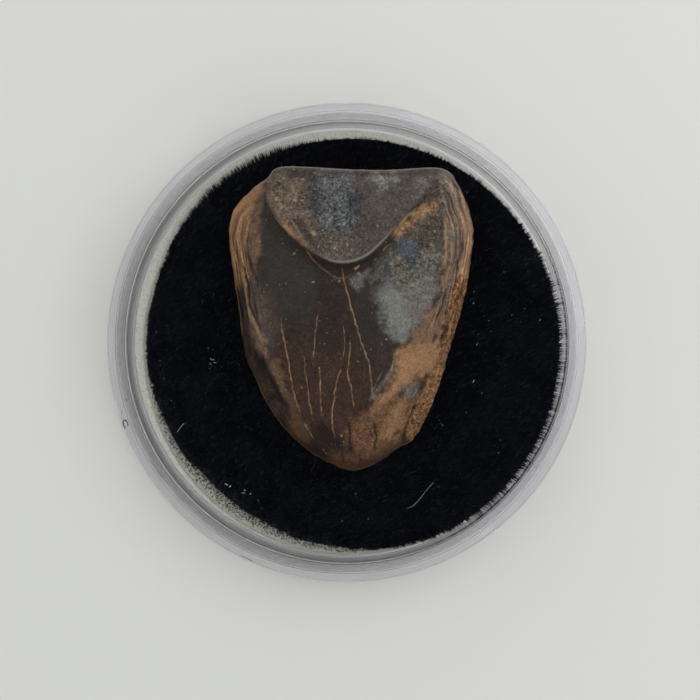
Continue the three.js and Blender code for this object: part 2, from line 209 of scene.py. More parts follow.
# Colour patches of the tooth: what each is, its colour, how mottled it is from 0 to 1, the
# softness of its edge and its corners, the last two in millimetres
FACE_PATCHES = [
    ("dark green-grey left of the middle", (0.0305, 0.0262, 0.0232), 0.2, 0.9,
     [(-7.1, 10.5), (-5.1, 8.5), (-2.7, 6.1), (-1.5, 4.7), (-2.7, 2.6), (-5.1, 1.9), (-7.1, 2.6),
      (-7.8, 5.4), (-7.5, 8.5)]),
    ("grey-brown above the left crest", (0.07, 0.048, 0.04), 0.35, 0.9,
     [(-8.2, 5), (-6.3, 4), (-5.6, 1.1), (-6.1, -0.8), (-7.1, -0.3), (-8.2, 2.3)]),
    ("reddish brown of the lower face", (0.0421, 0.0205, 0.0142), 0.45, 0.8,
     [(-6.3, -0.6), (-3.5, 0.2), (1.3, -0.6), (2.3, -4.1), (0.4, -8), (-2.5, -8.9), (-5.1, -6.3)]),
    ("dark strip left of the main crack", (0.026, 0.016, 0.0135), 0.35, 0.6,
     [(-2.5, 5), (-0.4, 5), (0.2, 0.2), (-1.1, -1.5), (-2.7, 0.2)]),
    ("dark strip right of the main crack", (0.022, 0.016, 0.015), 0.35, 0.6,
     [(0.2, 4.7), (2.3, 5), (2.8, 1.9), (2.3, -0.8), (0.8, 1.1)]),
    ("grey right of the main crack", (0.11, 0.105, 0.1), 0.5, 0.3,
     [(0.5, 5.2), (1.8, 5.8), (2, 5.2), (1.1, 4.4), (0.6, 4.5)]),
    ("orange-brown band by the left crest", (0.1, 0.055, 0.032), 0.5, 0.4,
     [(-6.5, -1.7), (-5.6, -1.5), (-4.6, -4.6), (-3.2, -7.2), (-3.7, -8.2), (-5.1, -6.1), (-6.1, -3.6)]),
    ("tan piece of the left crest", (0.155, 0.095, 0.06), 0.4, 0.25,
     [(-8.2, 2.1), (-7.6, 1.9), (-6.5, -0.8), (-6.6, -1.7), (-7.3, -0.8), (-7.9, 0.6)]),
    ("brown lower left flank", (0.055, 0.029, 0.02), 1.0, 0.25,
     [(-8.7, 3.3), (-8.2, 0.9), (-7.1, -1.5), (-6.3, -2.4), (-5.1, -5.3), (-4.9, -6.5), (-6.6, -6),
      (-8.8, -1.8), (-9.6, 1.1)]),
    # Its near black is painted shade in the hollow beside the left crest.
    ("black hollow beside the left crest", (0.006, 0.004, 0.0035), 0.3, 0.3,
     [(-7.1, -0.9), (-6.5, -1.6), (-5.9, -2.9), (-5.0, -4.9), (-4.8, -6.1), (-5.7, -4.7), (-6.5, -3.1),
      (-7.3, -1.8)]),
    ("outer left strip", (0.29, 0.155, 0.08), 0.2, 0.3,
     [(-6.7, 13.4), (-8.8, 13), (-10.6, 10.5), (-10.6, 6.5), (-9.7, 4.6), (-8.8, 4.5), (-8.2, 6.1),
      (-8.2, 8.8), (-7.7, 11.2), (-6.9, 12.2)]),
    ("inner left strip", (0.155, 0.09, 0.06), 0.3, 0.45,
     [(-6.8, 12.5), (-7.2, 10.9), (-7.2, 8.5), (-7.3, 6.7), (-8.1, 5), (-8.3, 7.9), (-8, 10.5)]),
    ("mottled brown under the right lip", (0.068, 0.052, 0.042), 0.9, 0.7,
     [(5.2, 9.5), (6.2, 11.6), (6.9, 13.3), (7.9, 13.4), (8.1, 8.8), (7.8, 7.1), (5.7, 6.7), (4.7, 8.1)]),
    ("right lip's ochre band", (0.27, 0.15, 0.08), 0.8, 0.35,
     [(3.9, 8.8), (5.1, 10.3), (6.2, 11.2), (7.2, 11.5), (7.6, 10.9), (6.1, 10.2), (4.9, 9.1), (4.3, 8.3)]),
    ("mottled top of the patina", (0.1, 0.091, 0.075), 0.9, 0.6,
     [(2.6, 6.6), (4.4, 7.6), (7.8, 7.6), (7.6, 5.4), (5.7, 4.4), (3.9, 4.4), (2.4, 5)]),
    ("blue-grey under the right lip", (0.05, 0.064, 0.083), 0.7, 0.3,
     [(4.3, 8.2), (5, 8.5), (5.7, 7.9), (5.9, 6.8), (5.6, 6.2), (5, 6.4), (4.4, 7.2)]),
    ("blue-black beside the patina", (0.034, 0.04, 0.048), 0.6, 0.3,
     [(2.9, 6.5), (3.6, 6.4), (3.6, 5.2), (3.0, 5.1)]),
    ("violet grey of the patina", (0.13, 0.119, 0.11), 0.45, 0.35,
     [(4.9, 5), (7.3, 5.4), (7.7, 4.5), (7.1, 3.1), (5.7, 1.4), (4.9, 0.3), (4.3, 0.4), (4.6, 2.9)]),
    ("grey patina", (0.147, 0.148, 0.134), 0.28, 0.7,
     [(3.5, 5.1), (4.6, 4.1), (5.3, 2.9), (5.4, 1.8), (5.1, 0.7), (4.5, 0), (3.9, 0.3), (3.2, 1),
      (2.8, 2.2), (2.5, 3.4), (2.6, 4.5)]),
    ("pale middle of the patina", (0.195, 0.196, 0.178), 0.22, 0.8,
     [(3.2, 3.6), (4.6, 3.8), (4.8, 1.9), (4.4, 0.5), (3.9, 0.8), (3.3, 1.9)]),
    ("brown band below the patina", (0.174, 0.105, 0.07), 0.3, 0.35,
     [(6.4, 2.1), (7.8, 3.8), (8.3, 3), (7.8, 1.1), (6.9, -0.3), (5.1, -0.5), (5.2, 0.6)]),
    ("smooth orange bevel", (0.31, 0.168, 0.088), 0.25, 0.6,
     [(4.5, -0.4), (7.5, 0.2), (8, -0.8), (7.5, -2.4), (5.7, -3.2), (4, -4.6), (2.7, -6.3), (2, -6),
      (3, -4.3), (4, -2.5)]),
    ("lower bevel", (0.137, 0.068, 0.032), 0.6, 0.8,
     [(2, -6), (4, -4.6), (5.7, -4.8), (5.2, -7.2), (4.2, -8.7), (2, -9.9), (1.3, -9.2), (1.8, -7.5)]),
    ("ochre of the lower bevel", (0.25, 0.14, 0.07), 0.4, 0.4,
     [(3.7, -5.6), (4.7, -4.9), (4.7, -7), (3.7, -8.4), (3, -8)]),
    ("blue-grey spot on the bevel", (0.12, 0.105, 0.085), 0.5, 0.3,
     [(4.7, -3.9), (5.8, -3.6), (6.1, -4.4), (5.1, -4.9)]),
    ("crumbled right edge", (0.19, 0.094, 0.043), 1.0, 0.3,
     [(8.8, 5.4), (10.4, 6.7), (10.6, 4.7), (9.9, 2.3), (8.8, -1.2), (7.8, -4.3), (6.8, -7), (5.2, -8.7),
      (4.8, -7.3), (5.7, -4.9), (7.1, -2.9), (7.9, -0.3), (8.2, 1.9)]),
    ("right margin", (0.14, 0.098, 0.07), 0.5, 0.3,
     [(7.6, 13.4), (8.8, 13.1), (9.5, 11.2), (9.7, 7.9), (9, 5), (8.5, 3.7), (7.8, 3), (7.5, 4.7),
      (8.1, 6.7), (8, 10.5)]),
    ("orange right rim", (0.26, 0.15, 0.09), 0.35, 0.2,
     [(9.2, 12.8), (9.7, 12.2), (10.6, 9.7), (10.6, 7.1), (10, 5.4), (9.5, 5.7), (9.6, 8.5), (9.4, 11.2)]),
    ("top right corner", (0.15, 0.115, 0.09), 0.6, 0.35,
     [(7.5, 14.1), (9, 13.8), (9.4, 12.2), (8.1, 11.6), (7.5, 12.6)]),
    ("ochre spot of the top right corner", (0.32, 0.21, 0.12), 0.5, 0.12,
     [(8.4, 13.3), (8.9, 13.2), (8.8, 12.5), (8.5, 12.6)]),
    ("dark left of the tip", (0.019, 0.008, 0.0055), 0.7, 0.4,
     [(-3.2, -7.2), (-1.5, -6.7), (-0.4, -8.4), (-0.1, -10.1), (-1.1, -10.8), (-3.2, -8.7)]),
    ("brown tip", (0.085, 0.036, 0.018), 0.9, 0.4,
     [(-1.5, -9.1), (1.3, -8.9), (2.3, -10.1), (0.2, -11.1), (-1.5, -10.4)]),
    ("orange patch above the tip", (0.14, 0.066, 0.034), 0.6, 0.5,
     [(0.2, -6.5), (1.9, -6), (2, -8.4), (1.3, -9.2), (0.2, -8.4)]),
    ("reddish foot of the left crest", (0.11, 0.05, 0.027), 0.5, 0.35,
     [(-5.1, -6.1), (-3.9, -6.7), (-3.2, -8.2), (-3.7, -8.5), (-4.7, -7.5)]),
]
# The same for patches that only the worn facet has
FACET_PATCHES = [
    ("tan left of the facet", (0.115, 0.083, 0.062), 0.75, 0.9,
     [(-6.4, 14), (-3.5, 13.9), (-3.2, 11.4), (-2.5, 8.8), (-3.9, 8.3), (-5.6, 10.4), (-6.5, 12.2)]),
    ("dark band under the worn edge", (0.05, 0.036, 0.033), 0.5, 0.35,
     [(-5, 14.3), (-2.6, 14.3), (-2.5, 13.4), (-4.7, 13.3)]),
    ("mottled foot of the facet", (0.08, 0.064, 0.053), 0.8, 0.6,
     [(-3.5, 9.1), (1.3, 9), (1.1, 7.6), (-0.4, 6.7), (-2.2, 7.1)]),
    ("dark brown inside the left ridge", (0.045, 0.03, 0.026), 0.5, 0.2,
     [(-4.7, 10.1), (-3.8, 9), (-2.8, 8), (-2.4, 7.6), (-2.6, 8.4), (-3.6, 9.9)]),
    ("ochre-brown between the left ridge and lip", (0.15, 0.085, 0.048), 0.6, 0.16,
     [(-5.6, 10), (-5.2, 10.1), (-4.3, 9.1), (-3.4, 8), (-3, 7.5), (-3.5, 7.7), (-4.8, 8.9)]),
    # Its lighter blue-grey is partly patina and partly a painted reflection of the bright room above.
    ("blue-grey middle of the facet", (0.083, 0.087, 0.094), 1.0, 0.6,
     [(-2.3, 13.8), (0.2, 13.8), (1.1, 12.2), (0.9, 10), (-0.1, 8.8), (-1.8, 9.1), (-2.7, 11.2)]),
    ("blue-black left of the middle", (0.034, 0.038, 0.046), 0.6, 0.35,
     [(-3.3, 13.4), (-2.3, 13.6), (-2.1, 10.5), (-2.7, 10)]),
    ("blue-black right of the middle", (0.04, 0.044, 0.052), 0.6, 0.35,
     [(0.4, 12.4), (1.4, 12.2), (1.1, 10.5), (0.2, 10.4)]),
    ("pale patch near the worn edge", (0.16, 0.15, 0.135), 0.6, 0.4,
     [(1.8, 13.7), (4.2, 13.8), (4.2, 12.9), (2.7, 12.5)]),
    ("grey left of the corner", (0.105, 0.09, 0.08), 0.6, 0.5,
     [(5.4, 13.6), (7.5, 13.8), (7.1, 12.6), (5.7, 11.7)]),
]
ROUGH_EDGE = [(9.4, 6), (8.6, 2.6), (7.6, -0.8), (6.6, -4.2), (5.1, -6.6), (3, -9.2), (12, -12), (12, 6)]
# The lower left flank: rough, and darkened there by painted shade.
LOWER_LEFT = [(-9.2, 2.2), (-8.2, 0.9), (-7, -1.7), (-5.9, -3.9), (-4.7, -6.4), (-6, -7.5), (-11, -4)]

# The bare crescent: degrees from its middle and its width there as a share of the greatest
BARE_STATIONS = [
    (-180, 0.0), (-82, 0.0), (-66, 0.34), (-50, 0.3), (-35, 0.45), (-20, 0.75), (-5, 1.0), (10, 0.92),
    (25, 0.76), (40, 0.55), (55, 0.25), (70, 0.0), (180, 0.0),
]

# Bits of white lint caught on the velvet, in millimetres: half width and the line it follows
LINT_HAIRS = [
    (0.012, [(5.1, -14.1), (5.6, -13.9), (6.2, -13.3), (6.8, -12.5), (7.35, -11.9)]),
    (0.035, [(-11.6, -1.35), (-11.45, -1.5), (-11.25, -1.45)]),
    (0.03, [(-11.3, -1.7), (-11.1, -1.75)]),
    (0.03, [(-11.65, -1.75), (-11.5, -1.9)]),
    (0.022, [(-5.52, 14.55), (-5.55, 14.95)]),
    (0.035, [(10.72, 3.3), (10.79, 3.36)]),
    (0.02, [(16.35, 1.85), (16.45, 1.95)]),
    (0.03, [(10.7, -3.4), (10.8, -3.2)]),
    (0.02, [(11.0, -0.25), (11.08, -0.1)]),
    (0.05, [(-10.35, -12.0), (-10.1, -12.1)]),
    (0.045, [(-10.0, -12.3), (-9.85, -12.15)]),
    (0.04, [(-8.7, -12.5), (-8.6, -12.6)]),
    (0.04, [(-8.25, -12.9), (-8.15, -12.8)]),
    (0.03, [(-8.9, -12.8), (-8.7, -12.75)]),
    (0.022, [(-14.4, -7.6), (-14.1, -7.2), (-13.85, -6.9)]),
]

# Scuffs of the jar, in millimetres: half width and the line each follows over its surface
JAR_SCUFFS = [
    (0.1, [(-18.72, -6.7), (-18.88, -6.6), (-19.0, -6.72), (-18.98, -7.05), (-18.82, -7.3)], 4.12),
    (0.08, [(-18.72, -6.7), (-18.6, -6.9), (-18.62, -7.1)], 4.12),
    (0.03, [(-19.2, -6.05), (-19.15, -5.85)], 4.12),
    (0.035, [(-19.0, -5.5), (-18.9, -5.2)], 4.12),
    (0.035, [(-18.75, -5.05), (-18.6, -4.8)], 4.12),
    (0.035, [(-9.0, -18.1), (-8.6, -18.3), (-8.0, -18.6)], 4.12),
    (0.03, [(-16.4, -9.7), (-15.9, -10.45), (-15.25, -11.3)], 9.0),
    (0.025, [(-13.55, -13.0), (-13.62, -13.25)], 9.0),
]


def smoothstep(low, high, value):
    """An eased step from 0 at low to 1 at high."""
    share = np.clip((value - low) / (high - low), 0.0, 1.0)
    return share * share * (3.0 - 2.0 * share)


def value_noise(points, cell, seed):
    """Smooth noise from -1 to 1: random values on a cubic lattice, blended by eased weights."""
    size = 32
    lattice = np.random.default_rng(seed).random((size, size, size)) * 2.0 - 1.0
    scaled = points / cell
    base = np.floor(scaled).astype(int)
    part = scaled - base
    part = part * part * (3.0 - 2.0 * part)
    total = np.zeros(len(points))
    for corner in np.ndindex(2, 2, 2):
        weight = np.prod(np.where(corner, part, 1.0 - part), axis=1)
        index = (base + corner) % size
        total += weight * lattice[index[:, 0], index[:, 1], index[:, 2]]
    return total


def layered_noise(points, cell, seed, layers=3):
    """Noise on noise: each layer has half the cell and 0.55 of the height of the one before."""
    total = np.zeros(len(points))
    for layer in range(layers):
        total += value_noise(points, cell / 2**layer, seed + layer) * 0.55**layer
    return total


def to_line(line, x, y):
    """Signed distance to a line of points, positive on its left, and the share of the way along."""
    corners = np.array(line)
    step = np.diff(corners, axis=0)
    px = x[:, None] - corners[:-1, 0]
    py = y[:, None] - corners[:-1, 1]
    along = np.clip((px * step[:, 0] + py * step[:, 1]) / (step**2).sum(axis=1), 0.0, 1.0)
    gap = np.hypot(px - along * step[:, 0], py - along * step[:, 1])
    nearest = gap.argmin(axis=1)
    rows = np.arange(len(x))
    side = np.sign(step[nearest, 0] * py[rows, nearest] - step[nearest, 1] * px[rows, nearest])
    share = (nearest + along[rows, nearest]) / len(step)
    return gap[rows, nearest] * np.where(side == 0, 1.0, side), share


def softened(line, times=3):
    """A line whose corners are cut off at a quarter of each side, several times over."""
    points = np.array(line, dtype=float)
    for _ in range(times):
        near = 0.75 * points[:-1] + 0.25 * points[1:]
        far = 0.25 * points[:-1] + 0.75 * points[1:]
        middle = np.stack([near, far], axis=1).reshape(-1, 2)
        points = np.concatenate([points[:1], middle, points[-1:]])
    return points


def line_mark(line, x, y, half_width, fade=0.12):
    """1 on a line of points and 0 beside it, falling off as a bell and fading at its two ends."""
    gap, share = to_line(line, x, y)
    ends = smoothstep(0.0, fade, share) * smoothstep(0.0, fade, 1.0 - share)
    return np.exp(-((gap / half_width) ** 2)) * (0.35 + 0.65 * ends)


def patch(corners, x, y, soft, shift=0.0):
    """1 inside a closed outline and 0 outside it, eased over a distance soft on each side of
    the outline, which the shift moves in or out."""
    start = np.array(corners)
    step = np.roll(start, -1, axis=0) - start
    px = x[:, None] - start[:, 0]
    py = y[:, None] - start[:, 1]
    along = np.clip((px * step[:, 0] + py * step[:, 1]) / (step**2).sum(axis=1), 0.0, 1.0)
    gap = np.hypot(px - along * step[:, 0], py - along * step[:, 1]).min(axis=1)
    rise = np.where(step[:, 1] == 0, 1e-9, step[:, 1])
    crossed = ((py < 0) != (py < rise)) & (px < step[:, 0] * py / rise)
    inside = crossed.sum(axis=1) % 2 == 1
    return smoothstep(-soft, soft, np.where(inside, gap, -gap) + shift)


def closed_curve(points, columns):
    """Points evenly spaced along a closed centripetal Catmull-Rom curve through the given ones.

    Each span is a cubic whose end slopes come from its neighbours, weighted by the square roots
    of the distances between the points.
    """
    p = np.array(points)
    before, here, after, beyond = np.roll(p, 1, 0), p, np.roll(p, -1, 0), np.roll(p, -2, 0)
    first = np.linalg.norm(here - before, axis=1)[:, None] ** 0.5
    span = np.linalg.norm(after - here, axis=1)[:, None] ** 0.5
    last = np.linalg.norm(beyond - after, axis=1)[:, None] ** 0.5
    leave = ((here - before) / first - (after - before) / (first + span) + (after - here) / span) * span
    arrive = ((after - here) / span - (beyond - here) / (span + last) + (beyond - after) / last) * span
    t = np.linspace(0.0, 1.0, 60, endpoint=False)[None, :, None]
    square = (3.0 * (after - here) - 2.0 * leave - arrive)[:, None]
    cube = (2.0 * (here - after) + leave + arrive)[:, None]
    dense = here[:, None] + leave[:, None] * t + square * t**2 + cube * t**3
    dense = dense.reshape(-1, 2)
    dense = np.concatenate([dense, dense[:1]])
    way = np.concatenate([[0.0], np.cumsum(np.linalg.norm(np.diff(dense, axis=0), axis=1))])
    even = np.linspace(0.0, way[-1], columns, endpoint=False)
    return np.stack([np.interp(even, way, dense[:, axis]) for axis in (0, 1)], axis=1)


def rings_to_faces(rings, first, last):
    """Joins rings of points into a closed surface, with a fan to a pole at each end.

    The rings run from the top's middle outwards and down to the underside's middle, and each is
    anticlockwise seen from above, so every face points out.
    """
    count, columns = rings.shape[:2]
    points = np.concatenate([rings.reshape(-1, 3), [first, last]])
    index = np.arange(count * columns).reshape(count, columns)
    beside = np.roll(index, -1, axis=1)
    quads = np.stack([index[:-1], index[1:], beside[1:], beside[:-1]], axis=-1).reshape(-1, 4)
    top = np.stack([np.full(columns, count * columns), index[0], beside[0]], axis=-1)
    under = np.stack([np.full(columns, count * columns + 1), beside[-1], index[-1]], axis=-1)
    return points, [quads, top, under]


def turned(profile, columns, centre=(0.0, 0.0)):
    """A profile of (radius, height) turned about a vertical axis: x and y are the radius times
    the cosine and sine of the turn. The profile runs from the axis on top to the axis below."""
    turn = np.linspace(0.0, 2.0 * math.pi, columns, endpoint=False)
    radius, height = np.array(profile[1:-1]).T
    x = centre[0] + radius[:, None] * np.cos(turn)
    y = centre[1] + radius[:, None] * np.sin(turn)
    z = np.broadcast_to(height[:, None], x.shape)
    first = (centre[0], centre[1], profile[0][1])
    last = (centre[0], centre[1], profile[-1][1])
    return rings_to_faces(np.stack([x, y, z], axis=-1), first, last)


def filleted(corners, steps=6):
    """A profile with each corner (radius, height, fillet) cut to an arc of that fillet: the arc
    starts and ends where it touches the two sides and turns about the point between them."""
    points = []
    for i, (radius, height, fillet) in enumerate(corners):
        here = np.array([radius, height])
        if not fillet or i in (0, len(corners) - 1):
            points.append(here)
            continue
        back = np.array(corners[i - 1][:2]) - here
        on = np.array(corners[i + 1][:2]) - here
        back = back / np.linalg.norm(back)
        on = on / np.linalg.norm(on)
        half = math.acos(np.clip(back @ on, -1.0, 1.0)) / 2.0
        middle = here + (back + on) / np.linalg.norm(back + on) * fillet / math.sin(half)
        touch_a = here + back * fillet / math.tan(half) - middle
        touch_b = here + on * fillet / math.tan(half) - middle
        turn = math.atan2(touch_a[0] * touch_b[1] - touch_a[1] * touch_b[0], touch_a @ touch_b)
        for share in np.linspace(0.0, 1.0, steps):
            cos, sin = math.cos(turn * share), math.sin(turn * share)
            arc = (touch_a[0] * cos - touch_a[1] * sin, touch_a[0] * sin + touch_a[1] * cos)
            points.append(middle + arc)
    return points


def subdivided(profile, longest):
    """A profile with no step longer than the given length."""
    points = [np.array(profile[0])]
    for point in profile[1:]:
        start, end = points[-1], np.array(point)
        count = max(1, math.ceil(np.linalg.norm(end - start) / longest))
        points.extend(start + (end - start) * k / count for k in range(1, count + 1))
    return points


def add_piece(name, points, faces, material, smooth=True):
    """A new mesh object from points in millimetres and arrays of faces, one array for each count
    of corners. The object sits at the origin, with its place in its mesh."""
    mesh = bpy.data.meshes.new(name)
    mesh.vertices.add(len(points))
    mesh.vertices.foreach_set("co", (points * MM).astype(np.float32).ravel())
    corners = np.concatenate([part.ravel() for part in faces]).astype(np.int32)
    sizes = np.concatenate([np.full(len(part), part.shape[1]) for part in faces])
    mesh.loops.add(len(corners))
    mesh.loops.foreach_set("vertex_index", corners)
    mesh.polygons.add(len(sizes))
    mesh.polygons.foreach_set("loop_start", (np.cumsum(sizes) - sizes).astype(np.int32))
    mesh.polygons.foreach_set("use_smooth", np.full(len(sizes), smooth))
    mesh.update(calc_edges=True)
    mesh.materials.append(material)
    piece = bpy.data.objects.new(name, mesh)
    bpy.context.scene.collection.objects.link(piece)
    return piece


def settle(piece, node):
    """Makes a piece ride on the part's body and stand for its node, whose solid it hides."""
    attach(piece, "root")
    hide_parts(node)


def add_values(piece, name, values):
    """Stores one number for each point of a piece, for its material to read."""
    attribute = piece.data.attributes.new(name, "FLOAT", "POINT")
    attribute.data.foreach_set("value", np.asarray(values, dtype=np.float32))


def add_colours(piece, name, colours):
    """Stores one colour for each point of a piece, for its material to read."""
    attribute = piece.data.attributes.new(name, "FLOAT_COLOR", "POINT")
    whole = np.column_stack([np.clip(colours, 0.0, 1.0), np.ones(len(colours))])
    attribute.data.foreach_set("color", whole.astype(np.float32).ravel())


def place(tree, kind, sockets=None, **settings):
    """A new node with its settings, and its sockets set to values or linked to other sockets."""
    made = tree.nodes.new(kind)
    for name, value in settings.items():
        setattr(made, name, value)
    for name, value in (sockets or {}).items():
        if isinstance(value, bpy.types.NodeSocket):
            tree.links.new(value, made.inputs[name])
        else:
            made.inputs[name].default_value = value
    return made


def maths(tree, operation, first, second=0.5):
    """The result of a maths node, from two numbers or sockets."""
    return place(tree, "ShaderNodeMath", {0: first, 1: second}, operation=operation).outputs[0]


def mixed(tree, factor, first, second, blend="MIX"):
    """Two colours mixed by a factor."""
    sockets = {0: factor, 6: first, 7: second}
    return place(tree, "ShaderNodeMix", sockets, data_type="RGBA", blend_type=blend).outputs[2]


def ramp(tree, value, low, high):
    """An eased step from 0 to 1 as a value goes from low to high."""
    sockets = {"Value": value, "From Min": low, "From Max": high}
    return place(tree, "ShaderNodeMapRange", sockets, interpolation_type="SMOOTHSTEP").outputs[0]


def stored(tree, name):
    """A value that the mesh stores at each of its points."""
    return place(tree, "ShaderNodeAttribute", attribute_name=name).outputs["Fac"]


def in_millimetres(tree):
    """Object coordinates times a thousand, so that a pattern's scale is in cells a millimetre."""
    coordinates = place(tree, "ShaderNodeTexCoord").outputs["Object"]
    sockets = {0: coordinates, 1: (1000.0, 1000.0, 1000.0)}
    return place(tree, "ShaderNodeVectorMath", sockets, operation="MULTIPLY").outputs[0]


def noise(tree, vector, scale, detail=4.0, roughness=0.55):
    """Cloudy noise, mostly from 0.3 to 0.7, with its scale in cells a millimetre."""
    sockets = {"Vector": vector, "Scale": scale, "Detail": detail, "Roughness": roughness}
    return place(tree, "ShaderNodeTexNoise", sockets).outputs["Fac"]


def rgb(red, green, blue):
    """A plain colour as a colour socket takes it."""
    return (red, green, blue, 1.0)


def new_material(name):
    """A material with an empty tree and its output."""
    material = bpy.data.materials.new(name)
    material.use_nodes = True
    tree = material.node_tree
    tree.nodes.clear()
    output = tree.nodes.new("ShaderNodeOutputMaterial")
    return material, tree, output


def speck_group():
    """Small round specks: a group that marks the middles of some cells of a cell pattern."""
    known = bpy.data.node_groups.get("Specks")
    if known:
        return known
    group = bpy.data.node_groups.new("Specks", "ShaderNodeTree")
    face = group.interface
    face.new_socket("Vector", in_out="INPUT", socket_type="NodeSocketVector")
    scale = face.new_socket("Scale", in_out="INPUT", socket_type="NodeSocketFloat")
    size = face.new_socket("Size", in_out="INPUT", socket_type="NodeSocketFloat")
    share = face.new_socket("Share", in_out="INPUT", socket_type="NodeSocketFloat")
    face.new_socket("Mask", in_out="OUTPUT", socket_type="NodeSocketFloat")
    scale.default_value, size.default_value, share.default_value = 2.0, 0.2, 0.3
    inputs = group.nodes.new("NodeGroupInput")
    outputs = group.nodes.new("NodeGroupOutput")
    sockets = {"Vector": inputs.outputs["Vector"], "Scale": inputs.outputs["Scale"]}
    cells = place(group, "ShaderNodeTexVoronoi", sockets)
    picked = place(group, "ShaderNodeSeparateColor", {"Color": cells.outputs["Color"]}).outputs[0]
    chosen = maths(group, "LESS_THAN", picked, inputs.outputs["Share"])
    inner = maths(group, "MULTIPLY", inputs.outputs["Size"], 0.35)
    spot = place(group, "ShaderNodeMapRange", {
        "Value": cells.outputs["Distance"], "From Min": inputs.outputs["Size"], "From Max": inner,
    }).outputs[0]
    group.links.new(maths(group, "MULTIPLY", spot, chosen), outputs.inputs["Mask"])
    return group


def specks(tree, vector, scale, size, share):
    """The mask of the specks group with these values."""
    sockets = {"Vector": vector, "Scale": scale, "Size": size, "Share": share}
    group = tree.nodes.new("ShaderNodeGroup")
    group.node_tree = speck_group()
    for name, value in sockets.items():
        if isinstance(value, bpy.types.NodeSocket):
            tree.links.new(value, group.inputs[name])
        else:
            group.inputs[name].default_value = value
    return group.outputs["Mask"]


def clear_plastic(settings):
    """Clear polystyrene: see-through, with faint scratches, and tinted by how far light goes
    through it. Lamps shine through it, a little dimmed."""
    material, tree, output = new_material("clear_polystyrene")
    vector = in_millimetres(tree)
    stretched = place(tree, "ShaderNodeMapping", {"Vector": vector, "Scale": (6.0, 0.35, 1.0)}).outputs[0]
    scratches = ramp(tree, noise(tree, stretched, 1.0, 3.0), 0.66, 0.72)
    haze = noise(tree, vector, 0.5, 5.0)
    height = maths(tree, "ADD", maths(tree, "MULTIPLY", scratches, 0.4), haze)
    bump = place(tree, "ShaderNodeBump", {"Height": height, "Strength": 0.012, "Distance": 0.0001}).outputs[0]
    shader = place(tree, "ShaderNodeBsdfPrincipled", {
        "Base Color": rgb(*settings.plastic),
        "Roughness": settings.roughness,
        "IOR": settings.ior,
        "Transmission Weight": 1.0,
        "Normal": bump,
    })
    through = place(tree, "ShaderNodeBsdfTransparent", {"Color": rgb(*settings.dimmed)})
    shadow = place(tree, "ShaderNodeLightPath").outputs["Is Shadow Ray"]
    both = place(tree, "ShaderNodeMixShader", {0: shadow, 1: shader.outputs[0], 2: through.outputs[0]})
    tree.links.new(both.outputs[0], output.inputs["Surface"])
    absorbed = place(tree, "ShaderNodeVolumeAbsorption", {
        "Color": rgb(*settings.depth_tint),
        "Density": settings.density,
    })
    tree.links.new(absorbed.outputs[0], output.inputs["Volume"])
    return material


def white_foam(settings):
    """White open-cell foam: small round cells in colour and height. Its greys, darker than white foam, are
    painted shade, and the darker middles of the cells are painted shade in the hollows.
    """
    material, tree, output = new_material("white_foam")
    vector = in_millimetres(tree)
    cells = place(tree, "ShaderNodeTexVoronoi", {"Vector": vector, "Scale": 4.5}).outputs["Distance"]
    shade = ramp(tree, cells, 0.05, 0.5)
    colour = mixed(tree, shade, rgb(*settings.foam_shade), rgb(*settings.foam_light))
    bump = place(tree, "ShaderNodeBump", {"Height": cells, "Strength": 0.6, "Distance": 0.0001}).outputs[0]
    sockets = {"Base Color": colour, "Roughness": 0.95, "Normal": bump}
    shader = place(tree, "ShaderNodeBsdfPrincipled", sockets)
    tree.links.new(shader.outputs[0], output.inputs["Surface"])
    return material


def velvet_backing(settings):
    """The velvet's ground: black where the pile is thick, as painted shade under the pile, and pale grey
    where it is bare, painted darker than the white ground as shade.
    """
    material, tree, output = new_material("velvet_backing")
    vector = in_millimetres(tree)
    grain = noise(tree, vector, 6.0, 3.0, 0.7)
    edge = maths(tree, "ADD", stored(tree, "cut_edge"), maths(tree, "MULTIPLY", grain, 0.4))
    bare = ramp(tree, edge, 0.55, 0.85)
    pale = mixed(tree, ramp(tree, grain, 0.35, 0.6), rgb(*settings.backing_shade), rgb(*settings.backing))
    # Painted shade: the ground is black under the thick pile, where the pile's shade falls.
    colour = mixed(tree, bare, rgb(*settings.pile_black), pale)
    bump = place(tree, "ShaderNodeBump", {"Height": grain, "Strength": 0.2, "Distance": 0.0001}).outputs[0]
    sockets = {"Base Color": colour, "Roughness": 0.9, "Normal": bump}
    shader = place(tree, "ShaderNodeBsdfPrincipled", sockets)
    tree.links.new(shader.outputs[0], output.inputs["Surface"])
    return material


def velvet_pile(settings):
    """Black nylon pile with a faint blue sheen that varies in soft clouds and from hair to
    hair, and a few hairs that catch the light."""
    material, tree, output = new_material("velvet_pile")
    clouds = noise(tree, in_millimetres(tree), 0.5, 3.0)
    glint = stored(tree, "glint")
    tone = maths(tree, "ADD", maths(tree, "MULTIPLY", clouds, 0.6), maths(tree, "MULTIPLY", glint, 0.4))
    # Painted sheen and painted glints: the pile's base colour turns blue in soft clouds, and pale on a few
    # single hairs.
    caught = ramp(tree, tone, 0.3, 0.75)
    colour = mixed(tree, caught, rgb(*settings.pile_black), rgb(*settings.pile_sheen))
    colour = mixed(tree, ramp(tree, glint, 0.955, 0.99), colour, rgb(*settings.pile_glint))
    shader = place(tree, "ShaderNodeBsdfPrincipled", {
        "Base Color": colour,
        "Roughness": 0.6,
        "Specular IOR Level": 0.3,
    })
    tree.links.new(shader.outputs[0], output.inputs["Surface"])
    return material


def lint_white():
    """Bits of pale lint, a little greyer in places."""
    material, tree, output = new_material("lint")
    grain = noise(tree, in_millimetres(tree), 3.0, 2.0)
    colour = mixed(tree, grain, rgb(0.35, 0.36, 0.4), rgb(0.85, 0.85, 0.85))
    shader = place(tree, "ShaderNodeBsdfPrincipled", {"Base Color": colour, "Roughness": 0.8})
    tree.links.new(shader.outputs[0], output.inputs["Surface"])
    return material


